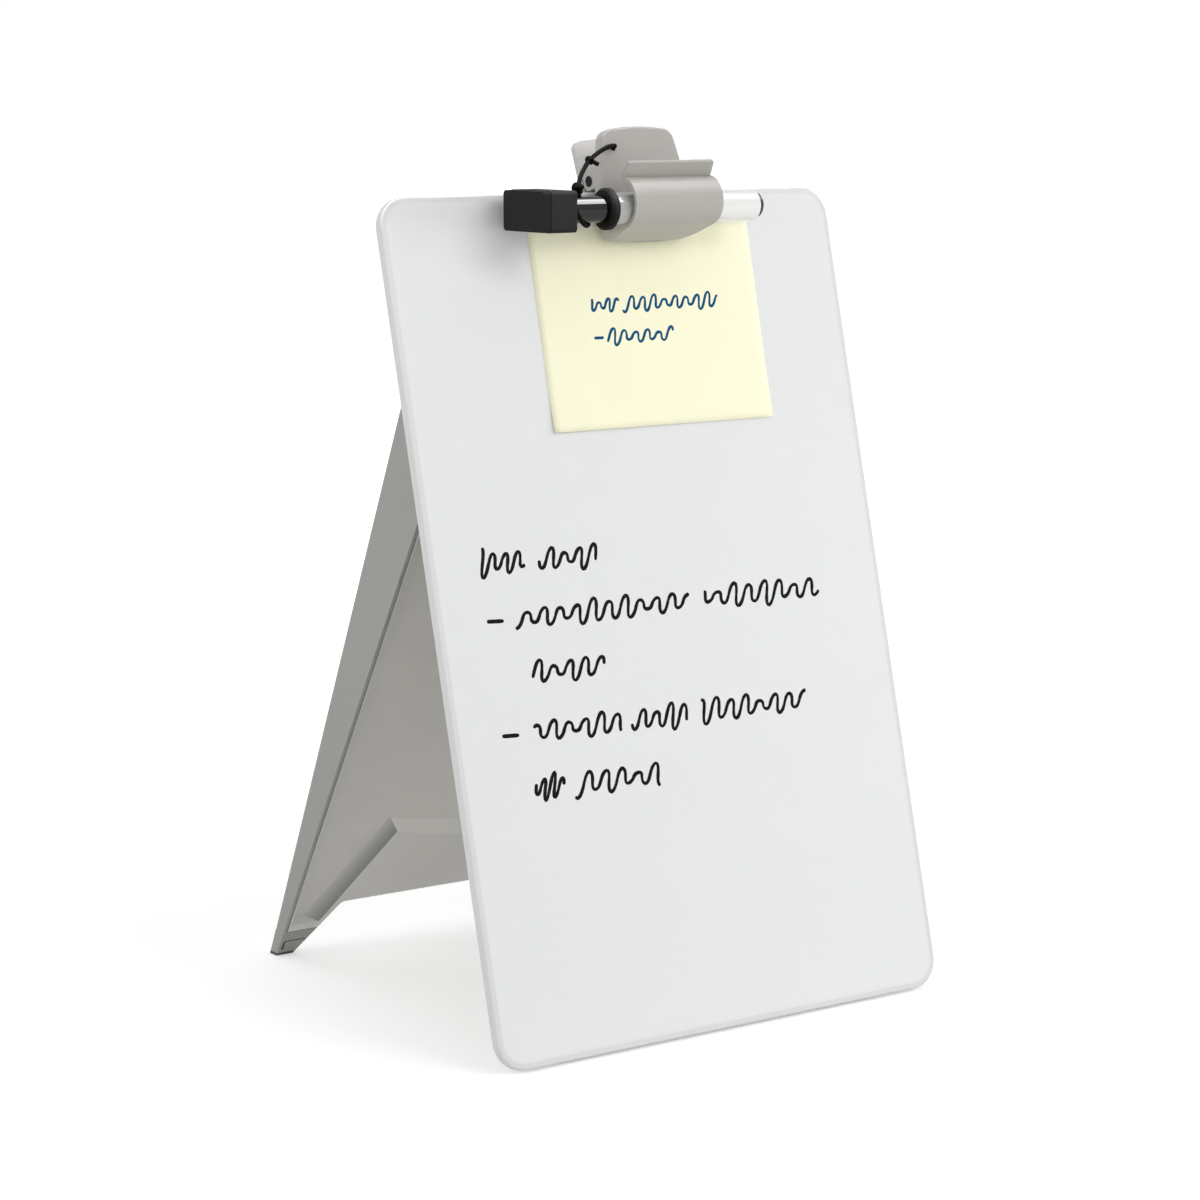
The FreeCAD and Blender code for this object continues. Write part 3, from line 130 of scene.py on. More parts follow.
class Surface:
    """A node-based material with a principled shader, whose sockets are filled one by one."""

    def __init__(self, name, **sockets):
        self.material = bpy.data.materials.new(name)
        self.material.use_nodes = True
        self.nodes = self.material.node_tree.nodes
        self.links = self.material.node_tree.links
        self.shader = self.nodes["Principled BSDF"]
        for socket, value in sockets.items():
            self.shader.inputs[socket.replace("_", " ")].default_value = value
        texture = self.add("ShaderNodeTexCoord")
        self.place = texture.outputs["Object"]
        self.normal = texture.outputs["Normal"]

    def add(self, kind, inputs=None, **settings):
        node = self.nodes.new(kind)
        for name, value in settings.items():
            setattr(node, name, value)
        for socket, value in (inputs or {}).items():
            if isinstance(value, bpy.types.NodeSocket):
                self.links.new(value, node.inputs[socket])
            else:
                node.inputs[socket].default_value = value
        return node

    def stretched(self, scale):
        """The place on the piece, with each axis scaled: a small scale draws a texture out."""
        return self.add("ShaderNodeMapping", {"Vector": self.place, "Scale": scale}).outputs[0]

    def noise(self, size, detail=3.0, place=None):
        """Noise whose spots are about so many metres across. More detail adds finer ones."""
        made = self.add("ShaderNodeTexNoise", {
            "Vector": place or self.place, "Scale": 1 / size, "Detail": detail})
        return made.outputs["Fac"]

    def vector(self, operation, first, second=(0.0, 0.0, 0.0)):
        """A sum of vectors, whose result is a number for a dot product or a length."""
        made = self.add("ShaderNodeVectorMath", {0: first, 1: second}, operation=operation)
        return made.outputs["Value" if operation in ("DOT_PRODUCT", "LENGTH") else "Vector"]

    def math(self, operation, first, second=0.0):
        made = self.add("ShaderNodeMath", {0: first, 1: second}, operation=operation)
        return made.outputs[0]

    def inset(self, depth):
        """How far a point of the board lies within its outline, in metres, less a depth."""
        middle = BOARD_FOOT + UP * (BOARD_HEIGHT / 2)
        place = self.vector("SUBTRACT", self.place, middle)
        reach = []
        for way, half in ((RIGHT, BOARD_WIDTH / 2), (UP, BOARD_HEIGHT / 2)):
            along = self.math("ABSOLUTE", self.vector("DOT_PRODUCT", place, way))
            reach.append(self.math("MAXIMUM", self.math("SUBTRACT", along, half - BOARD_CORNER)))
        corner = self.add("ShaderNodeCombineXYZ", {0: reach[0], 1: reach[1]}).outputs[0]
        return self.math("SUBTRACT", BOARD_CORNER - depth, self.vector("LENGTH", corner))

    def between(self, factor, low, high, start=0.3, end=0.7):
        """A number that follows a factor from low at start to high at end."""
        made = self.add("ShaderNodeMapRange", {
            "Value": factor, "From Min": start, "From Max": end, "To Min": low, "To Max": high})
        return made.outputs["Result"]

    def blend(self, factor, first, second):
        made = self.add("ShaderNodeMix", {0: factor, 6: first, 7: second}, data_type="RGBA")
        return made.outputs[2]

    def varied(self, factor, colour, spread):
        """A colour that grows lighter with a factor, by the same share both ways."""
        return self.blend(factor, shade(colour, 1 - spread), shade(colour, 1 + spread))

    def fill(self, socket, value):
        self.links.new(value, self.shader.inputs[socket])

    def bump(self, height, depth, strength=1.0, under=None):
        inputs = {"Height": height, "Distance": depth, "Strength": strength}
        if under:
            inputs["Normal"] = under
        made = self.add("ShaderNodeBump", inputs)
        self.fill("Normal", made.outputs[0])
        return made.outputs[0]


# Size of the slow changes of tone in plastic, and of the spots of more or less gloss
CLOUD_SIZE = 30 * MM
GLOSS_SPOT = 4 * MM
GLOSS_SPREAD = 0.05

LEG_GREY = (153, 153, 149)
# A paler copy of the leg's grey for the dish of the inner cover: painted light
COVER_PAINTED_LIGHT = (206, 204, 199)

# Moulded plastic and rubber: colour, roughness, width and depth of the grain in millimetres, how
# much the tone varies, and how strongly the surface mirrors
MOULDED = {
    "backing_steel": ((222, 222, 219), 0.38, 0.6, 0.01, 0.015, 0.4),
    "black_rubber": ((86, 86, 84), 0.75, 0.3, 0.03, 0.15, 0.2),
    "grey_rubber": ((74, 74, 76), 0.7, 0.3, 0.03, 0.12, 0.2),
    "leg_plastic": (LEG_GREY, 0.55, 0.45, 0.02, 0.025, 0.3),
    "clip_plastic": ((174, 171, 166), 0.45, 0.5, 0.008, 0.02, 0.2),
    # A paler copy of the clip plastic for the rear jaw: painted light
    "clip_pale": ((188, 185, 182), 0.45, 0.5, 0.008, 0.02, 0.2),
    "ring_black": ((16, 16, 15), 0.6, 0.4, 0.01, 0.1, 0.12),
    "eraser_black": ((30, 32, 31), 0.75, 0.5, 0.02, 0.06, 0.12),
}

# Drawn and brushed metal: colour, roughness, and the axis along which its fine lines run
BRUSHED = {
    "bracket_steel": ((190, 190, 188), 0.34, 0),
    "pin_steel": ((196, 195, 192), 0.28, 0),
    # A darkened copy of the pin steel: painted shade for the dark hole at the pin's end
    "pin_dark": ((70, 69, 67), 0.45, 0),
    "spring_steel": ((176, 176, 178), 0.25, 1),
}

# Felt and foam: colour, width of the fibres in millimetres, sheen, and how much the tone varies
FELT = {
    "foam_tape": ((60, 60, 62), 0.35, 0.2, 0.3),
    "ink_felt": ((28, 28, 32), 0.2, 0.2, 0.3),
    "eraser_felt": ((30, 31, 30), 0.3, 0.02, 0.12),
}

# Polished plastic: colour, roughness, clear coat, and how strongly the surface mirrors
POLISHED = {
    "bond_film": ((222, 222, 220), 0.3, 0.3, 0.5),
    "pen_black": ((16, 16, 17), 0.2, 0.3, 0.5),
    "cap_black": ((8, 8, 9), 0.06, 0.0, 0.36),
}

# Marker ink: colour, and the width of its streaks in millimetres
INK = {
    "ink_black": ((10, 10, 12), 0.6),
    "ink_blue": ((3, 74, 110), 0.5),
}

# Nodes whose material differs from that of the others in their slot: the ring's own black, and
# painted light and shade on the rear jaw, the pin and the inner cover
OWN_FINISH_AND_PAINTED_LIGHT = {
    "cap_ring": "ring_black",
    "clip_pivot_pin": "pin_dark",
    "clip_rear_jaw": "clip_pale",
    "leg_inner_cover": "cover_painted_light_and_shade",
}


def moulded(name, colour, roughness, grain, depth, spread, shine):
    """Moulded plastic or rubber: a fine grain, with slow changes of tone and gloss."""
    colour = tone(*colour)
    grain = grain * MM
    depth = depth * MM
    made = Surface(name, Specular_IOR_Level=shine)
    made.fill("Base Color", made.varied(made.noise(CLOUD_SIZE, 2.0), colour, spread))
    made.fill("Roughness", made.between(
        made.noise(GLOSS_SPOT), roughness - GLOSS_SPREAD, roughness + GLOSS_SPREAD))
    coarse = made.bump(made.noise(6 * grain, 2.0), depth * 2, 0.5)
    made.bump(made.noise(grain, 4.0), depth, under=coarse)
    return made.material


def brushed(name, colour, roughness, along):
    """Drawn or brushed metal, with fine lines that run along an axis."""
    colour = tone(*colour)
    made = Surface(name, Metallic=1.0)
    scale = [1.0, 1.0, 1.0]
    scale[along] = 0.04
    lines = made.noise(0.25 * MM, 4.0, made.stretched(scale))
    made.fill("Base Color", made.blend(lines, shade(colour, 0.88), shade(colour, 1.08)))
    made.fill("Roughness", made.between(lines, roughness - 0.07, roughness + 0.1))
    made.bump(lines, 0.01 * MM)
    return made.material


def felt(name, colour, fibre, sheen, spread):
    """Dense felt or foam: short crossed fibres and a soft sheen."""
    colour = tone(*colour)
    fibre = fibre * MM
    made = Surface(name, Roughness=0.95, Specular_IOR_Level=0.1, Sheen_Weight=sheen)
    level = made.noise(fibre, 5.0, made.stretched((1.0, 0.3, 1.0)))
    upright = made.noise(fibre, 5.0, made.stretched((1.0, 1.0, 0.3)))
    made.fill("Base Color", made.varied(level, colour, spread))
    under = made.bump(upright, fibre * 0.4)
    made.bump(level, fibre * 0.4, under=under)
    return made.material


def handling_marks(made, roughness, rougher):
    """Faint level wipe marks in the gloss of polished plastic."""
    marks = made.noise(1.5 * MM, 6.0, made.stretched((0.2, 1.0, 1.0)))
    made.fill("Roughness", made.between(marks, roughness, rougher, start=0.4, end=0.75))


def polished(name, colour, roughness, coat, shine):
    """Polished plastic with faint handling marks."""
    colour = tone(*colour)
    made = Surface(name, Specular_IOR_Level=shine, Coat_Weight=coat, Coat_Roughness=0.04)
    clouds = made.noise(15 * MM)
    made.fill("Base Color", made.blend(clouds, shade(colour, 0.95), shade(colour, 1.04)))
    handling_marks(made, roughness, roughness + 0.08)
    return made.material


def ink(name, colour, streak):
    """Marker ink: a little uneven where the tip ran dry."""
    colour = tone(*colour)
    made = Surface(name, Specular_IOR_Level=0.05)
    streaks = made.noise(streak * MM, 4.0)
    made.fill("Base Color", made.blend(streaks, shade(colour, 0.7), shade(colour, 1.6)))
    made.fill("Roughness", made.between(streaks, 0.35, 0.6))
    return made.material


def board_glass():
    """White backed glass: a plain face with a faint haze, and a greyer rim beyond the white."""
    face = tone(228, 229, 229)
    rim = tone(210, 211, 210)
    rim_width = 2.6 * MM
    softness = 0.6 * MM
    made = Surface("board_glass", IOR=1.5)
    band = made.between(made.inset(rim_width), 1.0, 0.0, start=-softness, end=softness)
    facing = made.math("ABSOLUTE", made.vector("DOT_PRODUCT", made.normal, FORWARD))
    sides = made.between(facing, 1.0, 0.0, start=0.55, end=0.97)
    edge = made.math("MAXIMUM", sides, band)
    body = made.varied(made.noise(70 * MM, 2.0), face, 0.01)
    made.fill("Base Color", made.blend(edge, body, rim))
    wiped = made.noise(9 * MM, 5.0, made.stretched((0.25, 1.0, 1.0)))
    rougher = made.between(edge, 0.0, 0.3, start=0.0, end=1.0)
    made.fill("Roughness", made.math("ADD", made.between(wiped, 0.18, 0.23), rougher))
    return made.material


# The slopes beside the arch in the leg's inner cover, where a soft band of painted shade lies: the
# direction from the arch across a slope, and the distances along it at which the slope begins and
# ends
SLOPE_WAY = Vector((0.851, 0.0, 0.526))
SLOPE_LOW = 69.3 * MM
SLOPE_HIGH = 74.5 * MM


def cover_painted_light_and_shade():
    """The leg's inner cover: painted light makes its dish paler than the leg's grey, and the steps
    at its sides and a soft band on the slopes beside its arch keep that grey as painted shade."""
    made = Surface("cover_painted_light_and_shade", Roughness=0.55, Specular_IOR_Level=0.3)
    sideways = made.math("ABSOLUTE", made.vector("DOT_PRODUCT", made.normal, RIGHT))
    step = made.between(sideways, 0.0, 1.0, start=0.6, end=0.8)
    from_arch = made.vector("DOT_PRODUCT", made.vector("ABSOLUTE", made.place), SLOPE_WAY)
    sloping = made.between(sideways, 0.0, 1.0, start=0.2, end=0.4)
    fading = made.between(from_arch, 1.0, 0.1, start=SLOPE_LOW, end=SLOPE_HIGH)
    # Painted shade: the leg's grey on the steps, and fading along the slopes near the arch; the
    # painted-light pale elsewhere
    dark = made.math("MAXIMUM", step, made.math("MULTIPLY", sloping, fading))
    colour = made.blend(dark, tone(*COVER_PAINTED_LIGHT), tone(*LEG_GREY))
    slow = made.between(made.noise(CLOUD_SIZE, 2.0), 0.98, 1.02)
    made.fill("Base Color", made.add("ShaderNodeHueSaturation", {
        "Color": colour, "Value": slow}).outputs[0])
    made.bump(made.noise(0.45 * MM, 4.0), 0.02 * MM)
    return made.material


def pen_white():
    """The white barrel, with a plain grey band next to the cap."""
    band_end = -3.0 * MM
    soft = 0.1 * MM
    made = Surface("pen_white", Specular_IOR_Level=0.5, Coat_Weight=0.3, Coat_Roughness=0.04)
    along = made.vector("DOT_PRODUCT", made.place, RIGHT)
    band = made.between(along, 1.0, 0.0, start=band_end - soft, end=band_end + soft)
    made.fill("Base Color", made.blend(band, tone(232, 232, 230), tone(178, 178, 175)))
    handling_marks(made, 0.2, 0.28)
    return made.material


def twisted_cord():
    """Waxed cord: dark, with slanting strands."""
    made = Surface("cord_black", Roughness=0.8, Specular_IOR_Level=0.06)
    strands = made.add("ShaderNodeTexWave", {
        "Vector": made.stretched((1.0, 0.6, -0.8)), "Scale": 0.25 / MM, "Distortion": 1.5,
        "Detail": 1.0}).outputs["Fac"]
    made.fill("Base Color", made.blend(strands, tone(2, 2, 3), tone(13, 12, 12)))
    made.bump(strands, 0.06 * MM)
    return made.material


def note_paper():
    """Soft yellow paper with darker level fibres and a slightly cloudy tone."""
    colour = tone(249, 247, 216)
    made = Surface("note_paper", Roughness=0.85, Specular_IOR_Level=0.2)
    fibres = made.noise(0.5 * MM, 5.0, made.stretched((0.5, 1.0, 1.0)))
    clouds = made.noise(12 * MM, 2.0)
    soft = made.blend(clouds, shade(colour, 0.985), shade(colour, 1.01))
    darker = made.between(fibres, 0.0, 0.25, start=0.45, end=0.8)
    made.fill("Base Color", made.blend(darker, soft, shade(colour, 0.93)))
    made.bump(fibres, 0.02 * MM)
    return made.material


def make_materials():
    made = {
        "board_glass": board_glass(),
        "cover_painted_light_and_shade": cover_painted_light_and_shade(),
        "pen_white": pen_white(),
        "cord_black": twisted_cord(),
        "note_paper": note_paper(),
    }
    for maker, table in ((moulded, MOULDED), (brushed, BRUSHED), (felt, FELT),
                         (polished, POLISHED), (ink, INK)):
        for name, settings in table.items():
            made[name] = maker(name, *settings)
    return made


def dress_nodes(materials):
    """Every carried-over CAD node takes the material of its slot in the record."""
    slots = {part["node"]: part["material_slot"] for part in frame["record"]["subparts"]}
    for name, node in frame["nodes"].items():
        material = materials[OWN_FINISH_AND_PAINTED_LIGHT.get(name, slots[name])]
        if node.data.materials:
            for index in range(len(node.data.materials)):
                node.data.materials[index] = material
        else:
            node.data.materials.append(material)


# Tether

# The route that the cord's solid follows, in the clip's own frame, in millimetres
TETHER_ROUTE = [
    (-12.2, -3.4, 14.6),
    (-12.5, -11.2, 14.7),
    (-16.8, -12.6, 14.5),
    (-22.0, -12.6, 12.4),
    (-28.0, -13.6, 9.0),
    (-33.0, -15.4, 4.4),
    (-36.8, -17.6, 0.4),
    (-38.6, -19.0, -2.5),
]
TETHER_RADIUS = 0.85 * MM

# Each knot's place, half its width, and the radius of its cord
CAP_KNOT = (TETHER_ROUTE[-1], 2.6 * MM, 0.95 * MM)
TIE_KNOT = ((-27.8, -13.7, 8.9), 1.9 * MM, 0.8 * MM)
TIE_TAIL = ((-26.2, -14.6, 7.7), (-25.0, -14.9, 7.0))
STOP_KNOT = ((TETHER_ROUTE[0][0], -2.1, TETHER_ROUTE[0][2]), 1.7 * MM, 0.6 * MM)

# The loop round the cap: how far it lies to the left of the clip's middle, its gap to the cap, and
# how many millimetres its front and its top lie nearer to the eraser than its middle
LOOP_SHIFT = 38.6 * MM
LOOP_GAP = 0.05 * MM
LOOP_SLANT_FRONT = 6.2
LOOP_SLANT_TOP = 2.6

# Points round a knot or loop
ROUND_POINTS = 24


def round_line(name, points, radius, closed=False):
    """A smooth cord of one radius along its points."""
    data = bpy.data.curves.new(name, "CURVE")
    data.dimensions = "3D"
    spline = data.splines.new("NURBS")
    spline.points.add(len(points) - 1)
    for point, place in zip(spline.points, points):
        point.co = (*place, 1)
    spline.order_u = 3
    spline.use_endpoint_u = not closed
    spline.use_cyclic_u = closed
    spline.resolution_u = 12
    data.bevel_depth = radius
    data.bevel_resolution = 4
    data.use_fill_caps = True
    return link_object(name, data)


def line_length(curve):
    """The length of a curve's own line, without its thickness."""
    thickness = curve.data.bevel_depth
    curve.data.bevel_depth = 0
    mesh = bpy.data.meshes.new_from_object(
        curve.evaluated_get(bpy.context.evaluated_depsgraph_get()))
    curve.data.bevel_depth = thickness
    places = [vertex.co for vertex in mesh.vertices]
    length = sum((b - a).length for a, b in zip(places, places[1:]))
    bpy.data.meshes.remove(mesh)
    return length


def make_knot(name, place, reach, radius, facing, tail=()):
    """An overhand knot pulled tight: a cord that winds three times through itself. The list also
    holds its loose end, where it has one."""
    centre = in_clip(place)
    turn = facing.to_track_quat("Z", "Y")
    size = (reach - radius) / 3
    points = []
    for step in range(ROUND_POINTS):
        angle = 2 * math.pi * step / ROUND_POINTS
        spot = Vector((math.sin(angle) + 2 * math.sin(2 * angle),
                       math.cos(angle) - 2 * math.cos(2 * angle),
                       -1.3 * math.sin(3 * angle)))
        points.append(centre + turn @ (spot * size))
    pieces = [round_line(name, points, radius, closed=True)]
    if tail:
        end = [centre] + [in_clip(spot) for spot in tail]
        pieces.append(round_line(name + "_tail", end, radius))
    return pieces


def loop_points():
    """The loop round the cap: it lies slanted, nearer to the eraser in front than behind."""
    reach = CAP_RADIUS + LOOP_GAP + TETHER_RADIUS
    points = []
    for step in range(ROUND_POINTS):
        angle = 2 * math.pi * step / ROUND_POINTS
        ahead = math.cos(angle)
        over = math.sin(angle)
        slant = (-LOOP_SLANT_FRONT * ahead - LOOP_SLANT_TOP * over) * MM
        points.append(PEN_PLACE + Vector((slant - LOOP_SHIFT, -reach * ahead, reach * over)))
    return points


def make_tether(materials):
    cord = round_line("tether", [in_clip(place) for place in TETHER_ROUTE], TETHER_RADIUS)
    bpy.context.view_layer.update()
    length = line_length(cord)
    loop = round_line("cap_loop", loop_points(), TETHER_RADIUS, closed=True)
    on_cap = make_knot("cap_knot", *CAP_KNOT, RIGHT + UP)
    tie = make_knot("cord_tie", *TIE_KNOT, RIGHT + UP, TIE_TAIL)
    stop = make_knot("stop_knot", *STOP_KNOT, FORWARD)
    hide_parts("tether_loop")
    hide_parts("tether_knot")
    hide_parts("tether_stop_knot")
    on_cord = [loop] + on_cap + tie + stop
    for piece in [cord] + on_cord:
        paint(piece, materials["cord_black"])
        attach(piece, "clip_front")
    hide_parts("tether_cord")


# Small fittings

# Each pin cap: the side it faces, its name, and the place of the lug's face across the board
PIN_ENDS = ((-1, "left", -7.8), (1, "right", 28.8))
# The pin's axis: how far back and how high it lies
PIN_BACK = 74.94
PIN_RISE = 311.32
# A pin cap's profile: radius, and how far it stands off the lug
PIN_CAP = ((1.1, 0.0), (1.1, 0.06), (2.0, 0.06), (2.0, 0.25), (1.75, 0.42), (1.25, 0.44),
           (1.0, 0.2), (0.0, 0.2))
PIN_CAP_SIDES = 32


def make_pin_shade_caps(materials):
    """A dark push-on cap on each end of the clip's pin, which with the darkened pin is painted
    shade for the dark hole at the pin's end.
    """
    for side, word, end in PIN_ENDS:
        mesh = bmesh.new()
        rings = []
        for radius, proud in PIN_CAP:
            ring = []
            for turn in range(PIN_CAP_SIDES):
                angle = 2 * math.pi * turn / PIN_CAP_SIDES
                place = Vector((end + side * proud, PIN_BACK + radius * math.cos(angle),
                                PIN_RISE + radius * math.sin(angle)))
                ring.append(mesh.verts.new(place * MM))
            rings.append(ring)
        mesh.faces.new(rings[0])
        for inner, outer in zip(rings, rings[1:]):
            for a, b, c, d in zip(inner, inner[1:] + inner[:1], outer[1:] + outer[:1], outer):
                mesh.faces.new((a, b, c, d))
        bmesh.ops.remove_doubles(mesh, verts=mesh.verts, dist=0.001 * MM)
        bmesh.ops.recalc_face_normals(mesh, faces=mesh.faces)
        data = bpy.data.meshes.new("pin_shade_cap_" + word)
        mesh.to_mesh(data)
        mesh.free()
        piece = link_object("pin_shade_cap_" + word, data)
        paint(piece, materials["ring_black"])
        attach(piece, "clip_back")


# Dark beads that lie in each boot's groove as painted shade. Each bead's radius and its points on
# the boot's inner face: out from the middle, and height
BOOT_SHADE_BEADS = (
    ("side", 0.38, ((85.3, 2.7), (85.3, 4.0), (85.2, 5.3))),
    ("top", 0.2, ((85.2, 5.0), (85.0, 6.3), (83.6, 6.45), (79.5, 6.42), (75.6, 6.42))),
)
# The boot's inner face: how far back it lies at its top, and how much more per millimetre of drop
BOOT_TOP = 8.0
BOOT_BACK = 178.6
BOOT_SLOPE = 0.591
# How much higher than the face a bead's middle runs, which puts it a little way into the boot
BEAD_SINK = 0.09


def on_boot(side, out, rise):
    """A point a little below the surface of a boot's inner face."""
    return Vector((side * out, BOOT_BACK + (BOOT_TOP - rise) * BOOT_SLOPE, rise + BEAD_SINK)) * MM


def make_boot_shade_beads(materials):
    """A dark bead in the groove of each boot, painted shade for the dark of the groove, thick at
    its outer side and thin along its top.
    """
    for side, word in ((-1, "left"), (1, "right")):
        for part, radius, places in BOOT_SHADE_BEADS:
            points = [on_boot(side, out, rise) for out, rise in places]
            bead = round_line("boot_shade_bead_%s_%s" % (part, word), points, radius * MM)
            paint(bead, materials["ring_black"])
            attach(bead, "leg")


# Memo note

# Places and sizes in millimetres, from the middle of the board's top edge
NOTE_SHIFT = 10.7
NOTE_DROP = 13.0
NOTE_WIDTH = 102.0
NOTE_HEIGHT = 76.0
NOTE_THICKNESS = 0.2
NOTE_GAP = 0.03
# The note hangs a little askew, so that its lower edge lies further left
NOTE_LEAN = math.tan(math.radians(0.6))
# The columns and rows of faces in its mesh
NOTE_COLUMNS = 34
NOTE_ROWS = 26
# The lift along the lower edge: the share of the height above it that lies flat, how high the
# middle of the edge lifts, and how much more its left corner does
LIFT_START = 0.74
LIFT_MIDDLE = 0.75
LIFT_MORE = 0.25


def make_note(materials):
    """The memo note: flat under the jaw, with a slight lift along its lower edge."""
    mesh = bmesh.new()
    grid = []
    for row in range(NOTE_ROWS + 1):
        down = row / NOTE_ROWS
        line = []
        for column in range(NOTE_COLUMNS + 1):
            side = 2 * column / NOTE_COLUMNS - 1
            rise = -down * NOTE_HEIGHT
            across = NOTE_SHIFT + side * NOTE_WIDTH / 2 + rise * NOTE_LEAN
            lift = max(0.0, down - LIFT_START) / (1 - LIFT_START)
            lift = lift * lift * (LIFT_MIDDLE - LIFT_MORE * side)
            line.append(mesh.verts.new(on_board(across, rise - NOTE_DROP, NOTE_GAP + lift)))
        grid.append(line)
    for upper, lower in zip(grid, grid[1:]):
        for a, b, c, d in zip(upper, lower, lower[1:], upper[1:]):
            mesh.faces.new((a, b, c, d))
    data = bpy.data.meshes.new("note_sheet")
    mesh.to_mesh(data)
    mesh.free()
    data.polygons.foreach_set("use_smooth", [True] * len(data.polygons))
    note = link_object("note_sheet", data)
    thick = note.modifiers.new("thickness", "SOLIDIFY")
    thick.thickness = (NOTE_THICKNESS - NOTE_GAP) * MM
    thick.offset = 1.0
    paint(note, materials["note_paper"])
    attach(note, "board")
    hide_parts("memo_note")


# Marker strokes

# A stroke's cross-section: the place across, as a share of half the width, and 1 where it is raised
STROKE_SECTION = ((-1, 0), (-0.7, 1), (0.7, 1), (1, 0))
# The sections of a round end, as shares of half the width beyond the last point
STROKE_END = (0.92, 0.7, 0.35)
# Two slow changes of a stroke's width: their size, and their pace per millimetre
STROKE_UNEVEN = ((0.10, 0.55), (0.06, 1.7))

# How high a wave's swings are on average, and two slow changes of it: size, start and pace
SWELL = 0.7
SWELL_CHANGES = ((0.24, 3, 1.3), (0.18, 5, 0.47))
# How much a wave leans, as a share of its height, and sways, as a share of its beat
LEAN = 0.16
SWAY = 0.10
SWING_STEPS = 8


def wave(start, end, height, beat, seed):
    """A quick hand's leaning, uneven waves between two points, with about one swing per beat."""
    start = Vector(start)
    end = Vector(end)
    span = (end - start).length
    way = (end - start).normalized()
    side = Vector((-way.y, way.x))
    swings = round(span / beat)
    line = []
    for step in range(swings * SWING_STEPS + 1):
        share = step / (swings * SWING_STEPS)
        phase = share * swings * math.pi + seed
        swell = SWELL
        for size, begin, pace in SWELL_CHANGES:
            swell += size * math.sin(seed * begin + share * swings * pace)
        swing = math.cos(phase) * swell
        lean = height * LEAN * swing + beat * SWAY * math.sin(2 * phase)
        line.append(start + way * (span * share + lean) + side * (height / 2 * swing))
    return line


def dash(start, end):
    start = Vector(start)
    end = Vector(end)
    steps = 6
    return [start.lerp(end, step / steps) for step in range(steps + 1)]


# Places across from the board's middle and up from its top edge, in millimetres. A wave's last
# three numbers are its height, its beat and where it starts in its swing.
BOARD_STROKES = (
    wave((-81, -134.0), (-62, -134.4), 10.5, 2.7, 0.4),
    wave((-55, -134.6), (-30, -135.2), 10.0, 3.1, 1.9),
    dash((-81.0, -155.0), (-75.0, -155.3)),
    wave((-68, -155.1), (8.0, -155.7), 9.0, 3.6, 3.1),
    wave((16, -155.0), (71, -156.3), 9.5, 3.6, 0.9),
    wave((-65, -175.2), (-34, -175.9), 10.0, 3.3, 4.4),
    dash((-81.4, -196.6), (-75.4, -196.9)),
    wave((-68, -196.5), (-29, -197.2), 9.0, 3.5, 5.6),
    wave((-24, -197.5), (1.0, -197.8), 9.5, 3.1, 2.2),
    wave((7, -197.4), (56, -198.5), 9.5, 3.6, 0.1),
    wave((-71, -216.8), (-59, -217.3), 9.5, 2.0, 1.2),
    wave((-52, -217.4), (-15, -218.4), 10.0, 3.6, 2.8),
)
NOTE_STROKES = (
    wave((-16.5, -42.6), (-4.5, -42.5), 6.4, 2.0, 0.7),
    wave((-1.0, -42.5), (42.0, -42.7), 6.2, 2.5, 2.6),
    dash((-16.7, -54.8), (-13.3, -54.8)),
    wave((-10.8, -54.6), (18.6, -55.0), 6.2, 2.6, 4.1),
)

# Width and thickness of the strokes in millimetres, and their gap to what they are drawn on
BOARD_STROKE = (1.4, 0.03)
NOTE_STROKE = (1.05, 0.02)
STROKE_GAP = 0.005


def add_stroke(mesh, line, width, thickness, out):
    """One stroke: a low strip with a soft top, round at both ends and a little uneven."""
    travelled = 0.0
    rows = []
    last = len(line) - 1
    for index, point in enumerate(line):
        before = line[max(index - 1, 0)]
        after = line[min(index + 1, last)]
        way = (after - before).normalized()
        side = Vector((-way.y, way.x))
        travelled += (point - before).length
        share = 1
        for size, pace in STROKE_UNEVEN:
            share += size * math.sin(travelled * pace)
        rows.append((point, way, side, width / 2 * share))
    ends = []
    for end, step in ((0, -1), (last, 1)):
        point, way, side, half = rows[end]
        ends.append([
            (point + way * (share * half * step), side, math.sqrt(1 - share * share) * half)
            for share in STROKE_END])
    bands = ends[0] + [(point, side, half) for point, way, side, half in rows] + ends[1][::-1]
    previous = None
    for place, side, half in bands:
        row = []
        for across, raised in STROKE_SECTION:
            spot = place + side * (half * across)
            row.append(mesh.verts.new(on_board(spot.x, spot.y, out + thickness * raised)))
        if previous:
            for a, b, c, d in zip(previous, previous[1:], row[1:], row):
                mesh.faces.new((a, b, c, d))
            mesh.faces.new((previous[3], previous[0], row[0], row[3]))
        else:
            mesh.faces.new(row[::-1])
        previous = row
    mesh.faces.new(previous)


def draw(name, lines, stroke, out, material):
    """Flat strokes that stand so many millimetres off the glass."""
    mesh = bmesh.new()
    for line in lines:
        add_stroke(mesh, line, *stroke, out)
    data = bpy.data.meshes.new(name)
    mesh.to_mesh(data)
    mesh.free()
    piece = link_object(name, data)
    paint(piece, material)
    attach(piece, "board")


def make_strokes(materials):
    draw("marker_strokes", BOARD_STROKES, BOARD_STROKE, STROKE_GAP, materials["ink_black"])
    draw("note_strokes", NOTE_STROKES, NOTE_STROKE, NOTE_THICKNESS + STROKE_GAP,
         materials["ink_blue"])


# Floor, surround and lamps

FLOOR_HALF = 12.0
# The floor's own white: its strength near the object and far away, and the distances between
# which it grows
GLOW_NEAR = 0.34
GLOW_FAR = 0.75
GLOW_START = 0.4
GLOW_END = 1.6
# How strongly the surround lights the object; it shows as plain white
WORLD_LIGHT = 0.64

